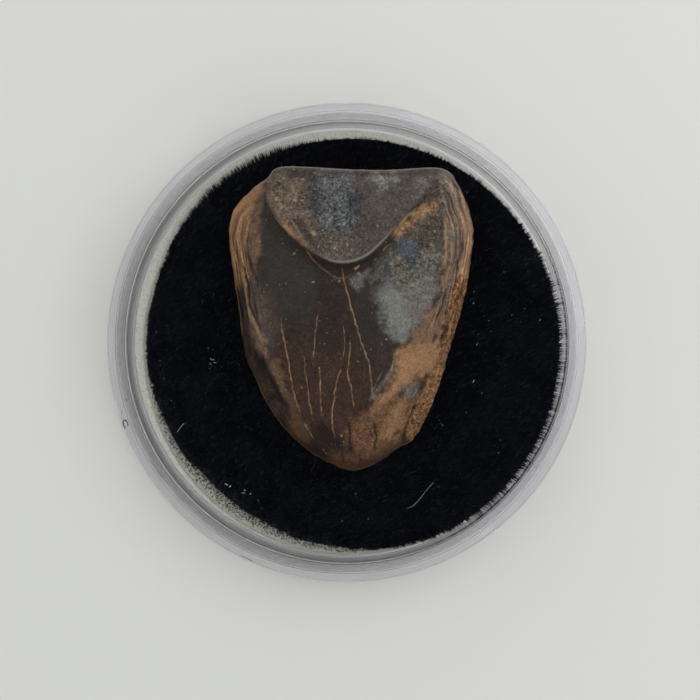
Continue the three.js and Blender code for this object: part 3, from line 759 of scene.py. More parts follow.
def scuff_grey():
    """Dark grey of the scuffs in the plastic, uneven along each one."""
    material, tree, output = new_material("scuff")
    grain = noise(tree, in_millimetres(tree), 4.0, 2.0)
    colour = mixed(tree, grain, rgb(0.02, 0.02, 0.025), rgb(0.12, 0.12, 0.13))
    shader = place(tree, "ShaderNodeBsdfPrincipled", {"Base Color": colour, "Roughness": 0.5})
    tree.links.new(shader.outputs[0], output.inputs["Surface"])
    return material


def fossil_enamel(settings):
    """Fossil enamel and dentine: the stored tint, mottled by noise as strongly as the stored
    grain says, with ochre spots, pale dots, dark grooves and painted shade, golden cracks, worn edges and
    painted highlights."""
    material, tree, output = new_material("fossil_enamel")
    vector = in_millimetres(tree)
    tint = place(tree, "ShaderNodeAttribute", attribute_name="tint").outputs["Color"]
    grain = stored(tree, "grain")
    broad = ramp(tree, noise(tree, vector, 0.9, 3.0, 0.6), 0.3, 0.7)
    middle = ramp(tree, noise(tree, vector, 2.6, 4.0, 0.65), 0.32, 0.68)
    fine = noise(tree, vector, 6.5, 3.0, 0.7)
    small = ramp(tree, noise(tree, vector, 5.4, 2.0, 0.6), 0.36, 0.64)
    mottle = maths(tree, "ADD", maths(tree, "MULTIPLY", middle, 0.4), maths(tree, "MULTIPLY", broad, 0.25))
    mottle = maths(tree, "ADD", mottle, maths(tree, "MULTIPLY", small, 0.35))
    swing = maths(tree, "MULTIPLY", maths(tree, "SUBTRACT", mottle, 0.5), 2.4)
    level = maths(tree, "ADD", maths(tree, "MULTIPLY", swing, grain), 1.0)
    level = maths(tree, "MAXIMUM", level, 0.12)
    speckle = maths(tree, "ADD", maths(tree, "MULTIPLY", grain, 2.0), 1.2)
    speckle = maths(tree, "MULTIPLY", maths(tree, "SUBTRACT", fine, 0.5), speckle)
    level = maths(tree, "MULTIPLY", level, maths(tree, "ADD", speckle, 1.0))
    streaked = maths(tree, "ADD", maths(tree, "MULTIPLY", stored(tree, "streak"), 0.8), 1.0)
    level = maths(tree, "MULTIPLY", level, streaked)
    scale = place(tree, "ShaderNodeCombineColor", {"Red": level, "Green": level, "Blue": level}).outputs[0]
    colour = mixed(tree, 1.0, tint, scale, "MULTIPLY")
    pits = ramp(tree, noise(tree, vector, 4.2, 2.0, 0.6), 0.55, 0.63)
    pits = maths(tree, "MULTIPLY", pits, stored(tree, "pitted"))
    colour = mixed(tree, maths(tree, "MULTIPLY", pits, 0.85), colour, rgb(0.01, 0.011, 0.013))
    sockets = {0: vector, 1: (37.0, 11.0, 5.0)}
    elsewhere = place(tree, "ShaderNodeVectorMath", sockets, operation="ADD").outputs[0]
    spots = ramp(tree, noise(tree, elsewhere, 4.4, 2.0, 0.6), 0.6, 0.7)
    spots = maths(tree, "MULTIPLY", maths(tree, "MULTIPLY", spots, stored(tree, "spotted")), 0.6)
    spots = maths(tree, "MAXIMUM", spots, ramp(tree, stored(tree, "blotch"), 0.2, 0.75))
    colour = mixed(tree, maths(tree, "MULTIPLY", spots, 0.8), colour, rgb(*settings.ochre))
    dots = maths(tree, "MULTIPLY", specks(tree, vector, 1.6, 0.16, 0.6), stored(tree, "dotted"))
    colour = mixed(tree, dots, colour, rgb(*settings.pale_dots))
    # Real grooves and cracks, and painted shade under the facet's lip and on the lower left flank.
    dark = maths(tree, "MULTIPLY", ramp(tree, stored(tree, "dark"), 0.0, 1.0), 0.9)
    colour = mixed(tree, dark, colour, rgb(*settings.groove_and_shade))
    gold = ramp(tree, stored(tree, "gold"), 0.15, 0.8)
    gold = maths(tree, "MULTIPLY", gold, ramp(tree, noise(tree, vector, 2.4, 3.0, 0.6), 0.2, 0.5))
    colour = mixed(tree, gold, colour, rgb(*settings.gold))
    # Pale worn edges, and painted highlights on the lip and the top rim.
    worn = maths(tree, "MULTIPLY", ramp(tree, stored(tree, "worn_edge_and_highlight"), 0.1, 1.0), 0.8)
    colour = mixed(tree, worn, colour, rgb(*settings.worn_edge_and_highlight))
    rough = stored(tree, "rough")
    roughness = maths(tree, "ADD", maths(tree, "MULTIPLY", rough, 0.3), 0.42)
    roughness = maths(tree, "ADD", roughness, maths(tree, "MULTIPLY", fine, 0.16))
    height = maths(tree, "ADD", maths(tree, "MULTIPLY", middle, rough), maths(tree, "MULTIPLY", fine, 0.45))
    bump = place(tree, "ShaderNodeBump", {"Height": height, "Strength": 0.4, "Distance": 0.0001}).outputs[0]
    shader = place(tree, "ShaderNodeBsdfPrincipled", {
        "Base Color": colour,
        "Roughness": roughness,
        "Specular IOR Level": 0.2,
        "Normal": bump,
    })
    tree.links.new(shader.outputs[0], output.inputs["Surface"])
    return material


def plain_floor(settings):
    """A plain pale table top with the faintest unevenness."""
    material, tree, output = new_material("pale_table")
    cloud = noise(tree, in_millimetres(tree), 0.02, 2.0)
    dim = tuple(value * 0.97 for value in settings.table)
    colour = mixed(tree, cloud, rgb(*dim), rgb(*settings.table))
    shader = place(tree, "ShaderNodeBsdfPrincipled", {"Base Color": colour, "Roughness": 0.7})
    tree.links.new(shader.outputs[0], output.inputs["Surface"])
    return material


def line_values(lines, x, y):
    """The strongest mark of several lines, each with its own half width."""
    marks = [line_mark(line, x, y, half) for half, line in lines]
    return np.max(marks, axis=0)


def spot_values(spots, x, y):
    """The strongest of several round spots, each a bell of its own radius."""
    marks = [np.exp(-(((x - across) ** 2 + (y - along) ** 2) / radius**2)) for radius, across, along in spots]
    return np.max(marks, axis=0)


def station_values(degrees):
    """Height of the widest line, flank width and roundness in each direction, eased between
    the stations."""
    stations = np.array(TOOTH_STATIONS)
    after = np.searchsorted(stations[:, 0], degrees, side="right")
    low, high = stations[after - 1], stations[after]
    share = smoothstep(low[:, 0], high[:, 0], degrees)[:, None]
    return (low + (high - low) * share)[:, 1:].T


def face_height(x, y):
    """Height of the tooth's face, without its flanks: a low dome, the eased step up to the
    facet, a bell-shaped lip along it, the hollow worn inside it and two bell-shaped edges."""
    inside = to_line(softened(FACET_LIP), x, y)[0]
    dome = FACE_HEIGHT - CROSS_CURVE * (x - DOME_TOP[0]) ** 2 - LENGTH_CURVE * (y - DOME_TOP[1]) ** 2
    step = STEP_HEIGHT * smoothstep(-STEP_WIDTH, 0.0, inside)
    lip = LIP_HEIGHT * np.exp(-((inside / LIP_WIDTH) ** 2))
    hollow = SCOOP_DEPTH * smoothstep(LIP_WIDTH, SCOOP_WIDTH, inside)
    distances = [to_line(softened(line), x, y)[0] for line in (ENAMEL_EDGE, LEFT_CREST)]
    edges = sum(np.exp(-((distance / EDGE_WIDTH) ** 2)) for distance in distances)
    waves = np.sin(1.3 * x + 0.4 * y) + np.sin(0.9 * y - 0.7 * x + 1.1) + np.sin(2.1 * x - 1.7 * y + 0.3)
    return dome + step + lip - hollow + EDGE_HEIGHT * edges + LUMP_HEIGHT * waves


def tooth_rings(columns, top_rings, under_rings):
    """The tooth's plain surface as rings of points. A column runs from the middle to each point
    of the outline: above, the height eases from the widest line to the face across the flank,
    and below, a full bowl drops from the widest line to the flat spot."""
    outline = closed_curve(TOOTH_OUTLINE[::-1], columns)
    reach_xy = outline - TOOTH_MIDDLE
    reach = np.hypot(*reach_xy.T)
    degrees = np.degrees(np.arctan2(reach_xy[:, 1], reach_xy[:, 0])) % 360.0
    widest, flank, round_by = station_values(degrees)
    share = 1.0 - (1.0 - np.arange(1, top_rings + 1) / top_rings)[:, None] ** 1.25
    x = TOOTH_MIDDLE[0] + share * reach_xy[:, 0]
    y = TOOTH_MIDDLE[1] + share * reach_xy[:, 1]
    from_edge = (1.0 - share) * reach
    across = np.minimum(1.0, from_edge / flank)
    rise = (1.0 - (1.0 - across) ** round_by) ** (1.0 / round_by)
    face = face_height(x.ravel(), y.ravel()).reshape(x.shape)
    upper = np.stack([x, y, widest + (face - widest) * rise], axis=-1)
    turn = math.pi / 2.0 * (np.arange(under_rings - 1, -1, -1) / under_rings)[:, None]
    share = FLAT_SPOT + (1.0 - FLAT_SPOT) * np.sin(turn) ** UNDERSIDE_FULLNESS
    x = TOOTH_MIDDLE[0] + share * reach_xy[:, 0]
    y = TOOTH_MIDDLE[1] + share * reach_xy[:, 1]
    lower = np.stack([x, y, widest * (1.0 - np.cos(turn))], axis=-1)
    below = np.concatenate([from_edge, np.full(lower.shape[:2], -1.0)])
    return np.concatenate([upper, lower]), below, np.broadcast_to(degrees, below.shape)


def outward(rings):
    """The direction that a surface of rings faces at each point: the cross product of its slope
    along a column and its slope round a ring."""
    down = np.gradient(rings, axis=0)
    round_it = np.roll(rings, -1, axis=1) - np.roll(rings, 1, axis=1)
    facing = np.cross(down, round_it)
    return facing / np.maximum(np.linalg.norm(facing, axis=-1, keepdims=True), 1e-12)


def sector(degrees, start, end, soft=6.0):
    """1 in the directions from start to end, in degrees, which may pass through 360."""
    middle = (start + (end - start) % 360.0 / 2.0) % 360.0
    half = (end - start) % 360.0 / 2.0
    away = np.abs((degrees - middle + 180.0) % 360.0 - 180.0)
    return 1.0 - smoothstep(half - soft, half + soft, away)


def shifted(points, amount, cell, seed):
    """Across and along coordinates of points, each shifted by noise of its own."""
    x = points[:, 0] + amount * layered_noise(points, cell, seed)
    y = points[:, 1] + amount * layered_noise(points, cell, seed + 10)
    return x, y


def outline_of(name):
    """The corners of the face's patch of that name."""
    return next(corners for label, _, _, _, corners in FACE_PATCHES if label == name)


def tooth_tint(points, upper, facet, settings):
    """Colour and mottling of each point: the patches are laid over the plain colour in order,
    each as strong as its eased distance inside its outline, which noise breaks up."""
    x, y = shifted(points, 0.22, 1.3, 11)
    breakup = layered_noise(points, 0.4, 91)
    colour = np.tile(np.array(settings.brown), (len(points), 1))
    grain = np.full(len(points), 0.35)

    def lay(over, over_grain, mask):
        nonlocal colour, grain
        colour = colour + (np.array(over) - colour) * mask[:, None]
        grain = grain + (over_grain - grain) * mask

    for _, over, over_grain, soft, corners in FACE_PATCHES:
        lay(over, over_grain, patch(corners, x, y, soft, breakup * min(soft, 0.45) * 0.7))
    lay(settings.facet, 0.5, facet)
    for _, over, over_grain, soft, corners in FACET_PATCHES:
        lay(over, over_grain, patch(corners, x, y, soft, breakup * min(soft, 0.5) * 0.8) * facet)
    lay(settings.underside, 0.6, 1.0 - upper)
    return colour, grain


def tooth_marks(points, from_edge, degrees, way):
    """The values that choose the tooth's marks and relief, from its lines, whose places are
    shifted by noise so that none is straight. Streaks are noise drawn out along the outline."""
    x, y = points[:, 0], points[:, 1]
    upper = smoothstep(-0.02, 0.02, from_edge)
    jx, jy = shifted(points, 0.07, 0.6, 31)
    lip = to_line(softened(FACET_LIP), x, y)[0]
    facet = smoothstep(-0.12, 0.12, lip) * upper
    wavy = from_edge + 0.15 * layered_noise(points, 2.0, 51)
    drawn_out = np.stack([wavy, way * 0.06, np.zeros(len(way))], axis=1)
    lines = layered_noise(drawn_out, 0.16, 55, 2)
    right = sector(degrees, 345, 55) * (1.0 - smoothstep(1.9, 2.6, from_edge))
    left = sector(degrees, 136, 186) * (1.0 - smoothstep(1.9, 2.6, from_edge))
    wx, wy = shifted(points, 0.3, 1.0, 71)
    lower_left = patch(LOWER_LEFT, wx, wy, 0.3)
    # Painted shadow: the facet's lip casts shade on the face just below it.
    shadow_under_lip = smoothstep(-0.8, -0.2, lip) * (1.0 - smoothstep(-0.2, 0.0, lip)) * smoothstep(9.0, 6.5, y)
    top_band = np.exp(-(((from_edge - 0.4) / 0.2) ** 2)) * sector(degrees, 62, 114)
    # Painted highlight: a pale line along the top rim where light catches the edge.
    rim_highlight = np.exp(-((from_edge / 0.13) ** 2)) * sector(degrees, 36, 132, 8.0)
    strength = 0.75 + 0.4 * value_noise(points, 0.3, 65)
    step_line = to_line(softened(OUTER_STEP), jx, jy)[0]
    broken = smoothstep(-0.5, 0.5, value_noise(points, 0.45, 67))
    faint = 0.2 + 0.5 * smoothstep(0.5, -0.5, x)
    outer = np.exp(-((step_line / 0.11) ** 2)) * (broken + (1.0 - broken) * faint)
    sx, sy = shifted(points, 0.07, 0.22, 141)
    middle_x = np.exp(-(((x - 0.2) / 1.9) ** 2))
    left_and_foot = np.maximum(smoothstep(0.2, -2.5, x), smoothstep(9.5, 8.0, y))
    # Painted highlight: the lip's lower side and its crest are made pale where light catches them.
    lip_gleam = np.exp(-(((lip - 0.06) / 0.12) ** 2)) * smoothstep(11.0, 7.4, y)
    marks = {
        "streak": lines * np.maximum(right, left) * upper,
        "pitted": facet * middle_x * smoothstep(7.6, 8.6, y) * smoothstep(13.2, 11.6, y),
        "spotted": facet * left_and_foot * smoothstep(0.1, 0.5, lip)
        + 0.9 * patch(outline_of("mottled brown under the right lip"), x, y, 0.8) * (1.0 - facet)
        + 0.6 * patch(outline_of("mottled top of the patina"), x, y, 0.6) + 0.25 * facet,
        "blotch": spot_values(OCHRE_SPOTS, sx, sy) * upper,
        "dotted": np.clip(0.6 - 0.4 * left - 0.3 * right, 0.0, 1.0) * upper,
        # Darker along the grooves and the dark crack, with painted shadow under the facet's lip, a darker
        # band near the top edge and painted shade on the lower left flank.
        "dark": np.maximum.reduce([
            line_values(DARK_GROOVES, jx, jy) * upper, line_mark(DARK_CRACK, jx, jy, 0.1),
            0.6 * shadow_under_lip, 0.45 * top_band,
            lower_left * upper * (0.35 + 0.5 * layered_noise(points, 0.9, 77)),
        ]),
        "gold": np.maximum.reduce([
            line_values(CRACKS, jx, jy) * strength,
            line_values(GOLD_STREAKS, jx, jy) * strength, 0.65 * outer,
        ]) * upper,
        # Real pale streaks, spots and ridge, with painted highlights on the facet's lip and along the top
        # rim.
        "worn_edge_and_highlight": np.maximum.reduce([
            lip_gleam * smoothstep(-2.6, -0.9, x) * 0.95,
            np.exp(-((lip / 0.08) ** 2)) * 0.25,
            0.6 * line_mark(INNER_RIDGE, jx, jy, 0.1),
            0.75 * line_values(PALE_STREAKS, jx, jy) * strength, 0.7 * spot_values(PALE_SPOTS, sx, sy),
            rim_highlight,
        ]) * upper,
        "rough": np.clip(np.maximum.reduce([
            patch(ROUGH_EDGE, wx, wy, 0.4), lower_left * 0.8, 0.8 * (1.0 - upper),
        ]), 0.0, 1.0),
    }
    relief = 0.05 * lines * right + 0.045 * lines * left
    relief = relief + 0.06 * layered_noise(points, 0.55, 61) * marks["rough"]
    relief = relief + 0.06 * layered_noise(points, 1.5, 71, 2) * marks["rough"]
    relief = relief + 0.012 * layered_noise(points, 0.5, 63) + 0.05 * lower_left * lines
    relief = relief - 0.06 * line_values(CRACKS, jx, jy) - 0.12 * line_values(DARK_GROOVES, jx, jy)
    chip = np.exp(-((x - CHIP[0]) ** 2 + (y - CHIP[1]) ** 2) / 0.1)
    relief = relief - 0.3 * line_mark(DARK_CRACK, jx, jy, 0.12) - 0.3 * chip
    relief = relief + 0.06 * line_mark(INNER_RIDGE, jx, jy, 0.16)
    relief = relief + 0.07 * line_values(GOLD_STREAKS[:1], jx, jy)
    relief = relief - 0.03 * marks["pitted"] * np.abs(value_noise(points, 0.35, 81))
    step = 0.1 * smoothstep(0.1, -0.05, step_line) * (1.0 - facet) * upper
    return marks, relief - step, facet, upper


def build_tooth(settings):
    """The tooth: its plain rings moved along their outward directions by the fine relief."""
    rings, from_edge, degrees = tooth_rings(settings.columns, settings.top_rings, settings.under_rings)
    flat = rings.reshape(-1, 3)
    way = np.arange(settings.columns) * OUTLINE_LENGTH / settings.columns
    round_it = np.broadcast_to(way, from_edge.shape)
    marks, relief, facet, upper = tooth_marks(flat, from_edge.ravel(), degrees.ravel(), round_it.ravel())
    colour, grain = tooth_tint(flat, upper, facet, settings)
    resting = smoothstep(0.0, 0.6, flat[:, 2])
    moved = flat + outward(rings).reshape(-1, 3) * (relief * resting)[:, None]
    moved[:, 2] = np.maximum(moved[:, 2], 0.0) + TOOTH_LOW[2]
    middle_top = moved[: settings.columns].mean(axis=0)
    middle_low = (*TOOTH_MIDDLE, TOOTH_LOW[2])
    points, faces = rings_to_faces(moved.reshape(rings.shape), middle_top, middle_low)
    piece = add_piece("fossil_tooth", points, faces, fossil_enamel(settings))
    ends = slice(0, settings.columns), slice(-settings.columns, None)
    for name, values in {**marks, "grain": grain}.items():
        poles = [values[end].mean() for end in ends]
        add_values(piece, name, np.concatenate([values, poles]))
    poles = [colour[end].mean(axis=0) for end in ends]
    add_colours(piece, "tint", np.concatenate([colour, poles]))
    settle(piece, "tooth")
    return piece


def build_jar(settings):
    """The jar base: its profile with every corner rounded, turned about the jar's axis."""
    radius, rim, floor = JAR_HIGH[0], JAR_HIGH[2], FOAM_LOW[2]
    corners = [
        (0.0, floor, 0.0),
        (BORE_RADIUS - 0.02, floor, 0.15),
        (BORE_RADIUS, BEVEL_FOOT, 0.5),
        (BEVEL_RADIUS, rim, 0.09),
        (NECK_RADIUS - 0.1, rim, 0.1),
        (NECK_RADIUS, BEAD_HEIGHT + 0.45, 0.3),
        (NECK_RADIUS + 0.12, BEAD_HEIGHT, 0.3),
        (NECK_RADIUS, BEAD_HEIGHT - 0.45, 0.3),
        (NECK_RADIUS, SHOULDER_HEIGHT, 0.08),
        (radius, SHOULDER_HEIGHT, 0.02),
        (radius, 0.0, 0.03),
        (0.0, 0.0, 0.0),
    ]
    profile = subdivided(filleted(corners), 2.0)
    points, faces = turned(profile, settings.columns)
    piece = add_piece("clear_jar_base", points, faces, clear_plastic(settings))
    settle(piece, "jar_base")
    return piece


def build_scuffs():
    """Dark scuffs on the jar: short spikes end to end along listed lines."""
    starts, ends, widths = zip(*(along_line(half, line, height) for half, line, height in JAR_SCUFFS))
    half_width = np.concatenate(widths)
    roots, tips = np.concatenate(starts), np.concatenate(ends)
    points, faces = spikes(roots, tips, half_width, np.zeros(len(roots)))
    piece = add_piece("jar_scuffs", points, faces, scuff_grey(), smooth=False)
    settle(piece, "jar_base")
    return piece


def build_foam(settings):
    """The foam disc: a turned profile whose side is roughened by noise."""
    radius = (FOAM_HIGH[0] - FOAM_LOW[0]) / 2
    low, high = FOAM_LOW[2] + 0.02, FOAM_HIGH[2]
    corners = [(0.0, high, 0.0), (radius, high, 0.15), (radius, low, 0.15), (0.0, low, 0.0)]
    profile = subdivided(filleted(corners), 1.0)
    points, faces = turned(profile, PAD_COLUMNS, FOAM_CENTRE[:2])
    away = points[:, :2] - FOAM_CENTRE[:2]
    reach = np.hypot(*away.T)
    side = smoothstep(radius - 1.0, radius, reach)
    shift = 0.05 * layered_noise(points, 0.5, 101) * side
    points[:, :2] += away / np.maximum(reach, 1e-9)[:, None] * (shift - 0.02)[:, None] * side[:, None]
    piece = add_piece("foam_pad", points, faces, white_foam(settings))
    settle(piece, "foam_disc")
    return piece


def bareness(x, y, settings):
    """1 on the disc's bare crescent and 0 where the pile is thick, and the share of the way from
    the disc's edge to the crescent's inner border. The crescent's width goes with the direction,
    as its stations say, and noise moves its inner border."""
    across, along = x - PAD_CENTRE[0], y - PAD_CENTRE[1]
    turn = (np.degrees(np.arctan2(along, across)) - settings.bare_direction + 180.0) % 360.0 - 180.0
    width = settings.bare_width / MM * np.interp(turn, *zip(*BARE_STATIONS))
    points = np.column_stack([x, y, np.zeros(len(x))])
    width = width + 0.1 * layered_noise(points, 0.7, 111) * (width > 0)
    inside = GROUND_RADIUS - np.hypot(across, along)
    bare = 1.0 - smoothstep(width - 0.12, width + 0.12, inside + 0.02)
    return bare, np.clip(inside / np.maximum(width, 0.05), 0.0, 1.0)


def build_backing(settings):
    """The velvet's ground: a thin disc with rounded edges, which stores where it is bare."""
    low = PILE_LOW[2]
    high = low + settings.ground / MM
    radius = GROUND_RADIUS
    corners = [(0.0, high, 0.0), (radius, high, 0.05), (radius, low, 0.05), (0.0, low, 0.0)]
    profile = subdivided(filleted(corners, 3), 0.4)
    points, faces = turned(profile, PAD_COLUMNS, PAD_CENTRE[:2])
    piece = add_piece("velvet_ground", points, faces, velvet_backing(settings))
    add_values(piece, "cut_edge", bareness(points[:, 0], points[:, 1], settings)[0])
    settle(piece, "velvet_facing")
    return piece


def spikes(roots, tips, half_width, turn):
    """A closed three-sided spike from each root to its tip: a triangle across the spike's
    direction at the root, and the tip as the fourth corner."""
    along = tips - roots
    along = along / np.linalg.norm(along, axis=1, keepdims=True)
    helper = np.where(np.abs(along[:, 2:]) > 0.9, (1.0, 0.0, 0.0), (0.0, 0.0, 1.0))
    side = np.cross(along, helper)
    side = side / np.linalg.norm(side, axis=1, keepdims=True)
    other = np.cross(along, side)
    corners = []
    for third in range(3):
        angle = (turn + third * 2.0 * math.pi / 3.0)[:, None]
        corners.append(roots + half_width[:, None] * (np.cos(angle) * side + np.sin(angle) * other))
    points = np.stack([*corners, tips], axis=1).reshape(-1, 3)
    pattern = np.array([(0, 1, 3), (1, 2, 3), (2, 0, 3), (0, 2, 1)])
    faces = (np.arange(len(roots)) * 4)[:, None, None] + pattern
    return points, [faces.reshape(-1, 3)]


def build_pile(settings, quarter, material):
    """A quarter of the velvet's pile: spikes from random roots in the disc, which lean with the
    nap, spread at random and stray in soft waves. Near the disc's edge they stand up straighter
    and splay outwards, most on the left of the worn edge. None stands on the bare crescent."""
    random = np.random.default_rng(500 + quarter)
    count = settings.hairs // 4
    angle = (quarter + random.random(count)) * math.pi / 2.0
    edge = PILE_RADIUS
    reach = edge * np.sqrt(random.random(count))
    direction = np.stack([np.cos(angle), np.sin(angle)], axis=1)
    base = PILE_LOW[2] + settings.ground / MM
    roots = np.column_stack([PAD_CENTRE[:2] + direction * reach[:, None], np.full(count, base)])
    bare = bareness(roots[:, 0], roots[:, 1], settings)[0]
    kept = random.random(count) > bare
    roots, direction, reach, angle, bare = roots[kept], direction[kept], reach[kept], angle[kept], bare[kept]
    count = len(roots)
    near_edge = smoothstep(edge - 1.0, edge, reach)
    degrees = np.degrees(angle)
    splay = 0.15 + 0.5 * sector(degrees, 106.0, 142.0, 12.0) + 0.36 * sector(degrees, 290.0, 30.0, 20.0)
    splay = splay + 0.12 * value_noise(roots, 0.4, 540)
    nap_turn = math.radians(settings.nap_direction)
    nap = settings.nap_lean / MM * np.array([math.cos(nap_turn), math.sin(nap_turn)])
    stray = 0.14 * np.stack([value_noise(roots, 1.7, 510), value_noise(roots, 1.7, 520)], axis=1)
    lean = (nap + stray + random.normal(0.0, 0.15, (count, 2))) * (1.0 - 0.8 * near_edge)[:, None]
    lean = lean + (splay * near_edge)[:, None] * direction
    size = 1.0 - 0.5 * bare
    rise = (PILE_HIGH[2] - base) * (0.82 + 0.18 * random.random(count)) * (1.0 - 0.2 * near_edge) * size
    tips = np.column_stack([roots[:, :2] + lean * size[:, None], base + rise])
    roots[:, 2] -= 0.03
    half_width = 0.035 + 0.014 * random.random(count)
    points, faces = spikes(roots, tips, half_width, random.random(count) * 2.0)
    piece = add_piece(f"velvet_pile_{quarter + 1}", points, faces, material, smooth=False)
    add_values(piece, "glint", np.repeat(random.random(count), 4))
    settle(piece, "velvet_facing")
    return piece


def build_stubs(settings, material):
    """Worn stubs of pile on the bare crescent: small bunches of short spikes on a grid whose
    points stray at random, thick along the crescent's inner border and thin at the disc's edge."""
    random = np.random.default_rng(560)
    line = np.arange(-PAD_RADIUS, PAD_RADIUS, settings.stub_gap / MM)
    x, y = (part.ravel() for part in np.meshgrid(line, line))
    stray = random.normal(0.0, 0.22 * settings.stub_gap / MM, (2, len(x)))
    x = x + stray[0] + PAD_CENTRE[0]
    y = y + stray[1] + PAD_CENTRE[1]
    bare, way = bareness(x, y, settings)
    inside = np.hypot(x - PAD_CENTRE[0], y - PAD_CENTRE[1]) < PAD_RADIUS - 0.2
    kept = inside & (bare > 0.2) & (random.random(len(x)) < 0.35 + 0.65 * smoothstep(0.05, 0.6, way))
    bunch = 5
    base = PILE_LOW[2] + settings.ground / MM
    middles = np.column_stack([x[kept], y[kept], np.full(kept.sum(), base - 0.03)])
    roots = np.repeat(middles, bunch, axis=0)
    roots[:, :2] += random.normal(0.0, 0.03, (len(roots), 2))
    height = 0.12 + 0.3 * np.repeat(way[kept], bunch) * random.random(len(roots))
    tips = roots + np.column_stack([random.normal(0.0, 0.05, (len(roots), 2)), height])
    half_width = 0.028 + 0.03 * random.random(len(roots)) * np.repeat(way[kept], bunch)
    points, faces = spikes(roots, tips, half_width, random.random(len(roots)) * 2.0)
    piece = add_piece("velvet_stubs", points, faces, material, smooth=False)
    add_values(piece, "glint", np.repeat(random.random(len(roots)) * 0.9, 4))
    settle(piece, "velvet_facing")
    return piece


def along_line(half, line, height):
    """Roots, tips and half widths of short spikes that follow a line at a height, each one
    running on under the next."""
    corners = np.array(line)
    steps = np.linspace(0.0, 1.0, 4 * (len(corners) - 1) + 1) * (len(corners) - 1)
    path = np.stack([np.interp(steps, np.arange(len(corners)), corners[:, axis]) for axis in (0, 1)], axis=1)
    path = np.column_stack([path, np.full(len(path), height)])
    along = np.diff(path, axis=0)
    return path[:-1], path[1:] + along * 0.8, np.full(len(along), half)


def build_lint(settings):
    """Bits of lint on the velvet: tapered hairs of short spikes end to end along listed
    lines, and tiny flecks scattered at random."""
    random = np.random.default_rng(700)
    top = PILE_HIGH[2] + 0.02
    hairs = [along_line(half, line, top + half) for half, line in LINT_HAIRS]
    starts, ends, widths = (list(part) for part in zip(*hairs))
    angle = random.random(settings.flecks) * 2.0 * math.pi
    reach = (PAD_RADIUS - 0.8) * np.sqrt(random.random(settings.flecks))
    fleck = np.column_stack([
        PAD_CENTRE[0] + reach * np.cos(angle), PAD_CENTRE[1] + reach * np.sin(angle),
        np.full(settings.flecks, top - 0.03),
    ])
    turn = random.random(settings.flecks) * 2.0 * math.pi
    length = 0.05 + 0.15 * random.random(settings.flecks) ** 3
    starts.append(fleck)
    run = [length * np.cos(turn), length * np.sin(turn), 0.02 * np.ones(len(turn))]
    ends.append(fleck + np.column_stack(run))
    widths.append(0.012 + 0.016 * random.random(settings.flecks) ** 2)
    roots, tips, half_width = np.concatenate(starts), np.concatenate(ends), np.concatenate(widths)
    points, faces = spikes(roots, tips, half_width, np.zeros(len(roots)))
    piece = add_piece("lint", points, faces, lint_white(), smooth=False)
    settle(piece, "velvet_facing")
    return piece


def build_stage(settings):
    """The pale floor, the soft lights, the even surroundings and the camera straight above."""
    scene = bpy.context.scene
    scene.view_settings.view_transform = "Standard"
    world = bpy.data.worlds.new("soft_studio")
    scene.world = world
    world.use_nodes = True
    background = world.node_tree.nodes["Background"]
    background.inputs["Color"].default_value = rgb(*settings.surroundings)
    background.inputs["Strength"].default_value = settings.surroundings_strength
    half, top = 600.0, -0.03
    corners = np.array([(-half, -half, top), (half, -half, top), (half, half, top), (-half, half, top)])
    floor = add_piece("table_top", corners, [np.array([(0, 1, 2, 3)])], plain_floor(settings))
    for name, degrees, lift, distance, size, power, colour in (
        ("key_light", 28.0, 48.0, 0.4, 0.3, settings.key_power, (1.0, 0.985, 1.0)),
        ("top_light", 100.0, 30.0, 0.5, 0.3, settings.top_power, (1.0, 0.99, 1.0)),
        ("left_light", 172.0, 16.0, 0.5, 0.25, settings.left_power, (1.0, 1.0, 0.97)),
        ("strip_light", 305.0, 50.0, 0.6, 0.05, settings.strip_power, (1.0, 1.0, 1.0)),
    ):
        light = bpy.data.lights.new(name, "AREA")
        light.shape = "DISK"
        light.size = size
        light.energy = power
        light.color = colour
        turn, rise = math.radians(degrees), math.radians(lift)
        lamp = bpy.data.objects.new(name, light)
        level = math.cos(rise) * distance
        lamp.location = (level * math.cos(turn), level * math.sin(turn), math.sin(rise) * distance)
        lamp.rotation_euler = lamp.location.to_track_quat("Z", "Y").to_euler()
        scene.collection.objects.link(lamp)
    lens = bpy.data.cameras.new("camera")
    lens.sensor_width = 36.0
    lens.lens = lens.sensor_width * settings.camera_height / settings.field_width
    lens.clip_start = 0.01
    camera = bpy.data.objects.new("camera", lens)
    camera.location = (settings.camera_x, settings.camera_y, JAR_HIGH[2] * MM + settings.camera_height)
    scene.collection.objects.link(camera)
    scene.camera = camera


def size_setting(name, description, default):
    """A length that a user may change, in metres."""
    return bpy.props.FloatProperty(
        name=name, description=description, default=default, unit="LENGTH", precision=5
    )


def colour_setting(name, description, default):
    """A colour that a user may change."""
    return bpy.props.FloatVectorProperty(
        name=name, description=description, default=default, subtype="COLOR", min=0.0, max=1.0
    )


def number_setting(name, description, default):
    """A plain number that a user may change."""
    return bpy.props.FloatProperty(name=name, description=description, default=default, precision=4)


def power_setting(name, description, default):
    """A lamp's power that a user may change, in watts."""
    return bpy.props.FloatProperty(name=name, description=description, default=default, unit="POWER")


def count_setting(name, description, default):
    """A whole number that a user may change."""
    return bpy.props.IntProperty(name=name, description=description, default=default, min=3)


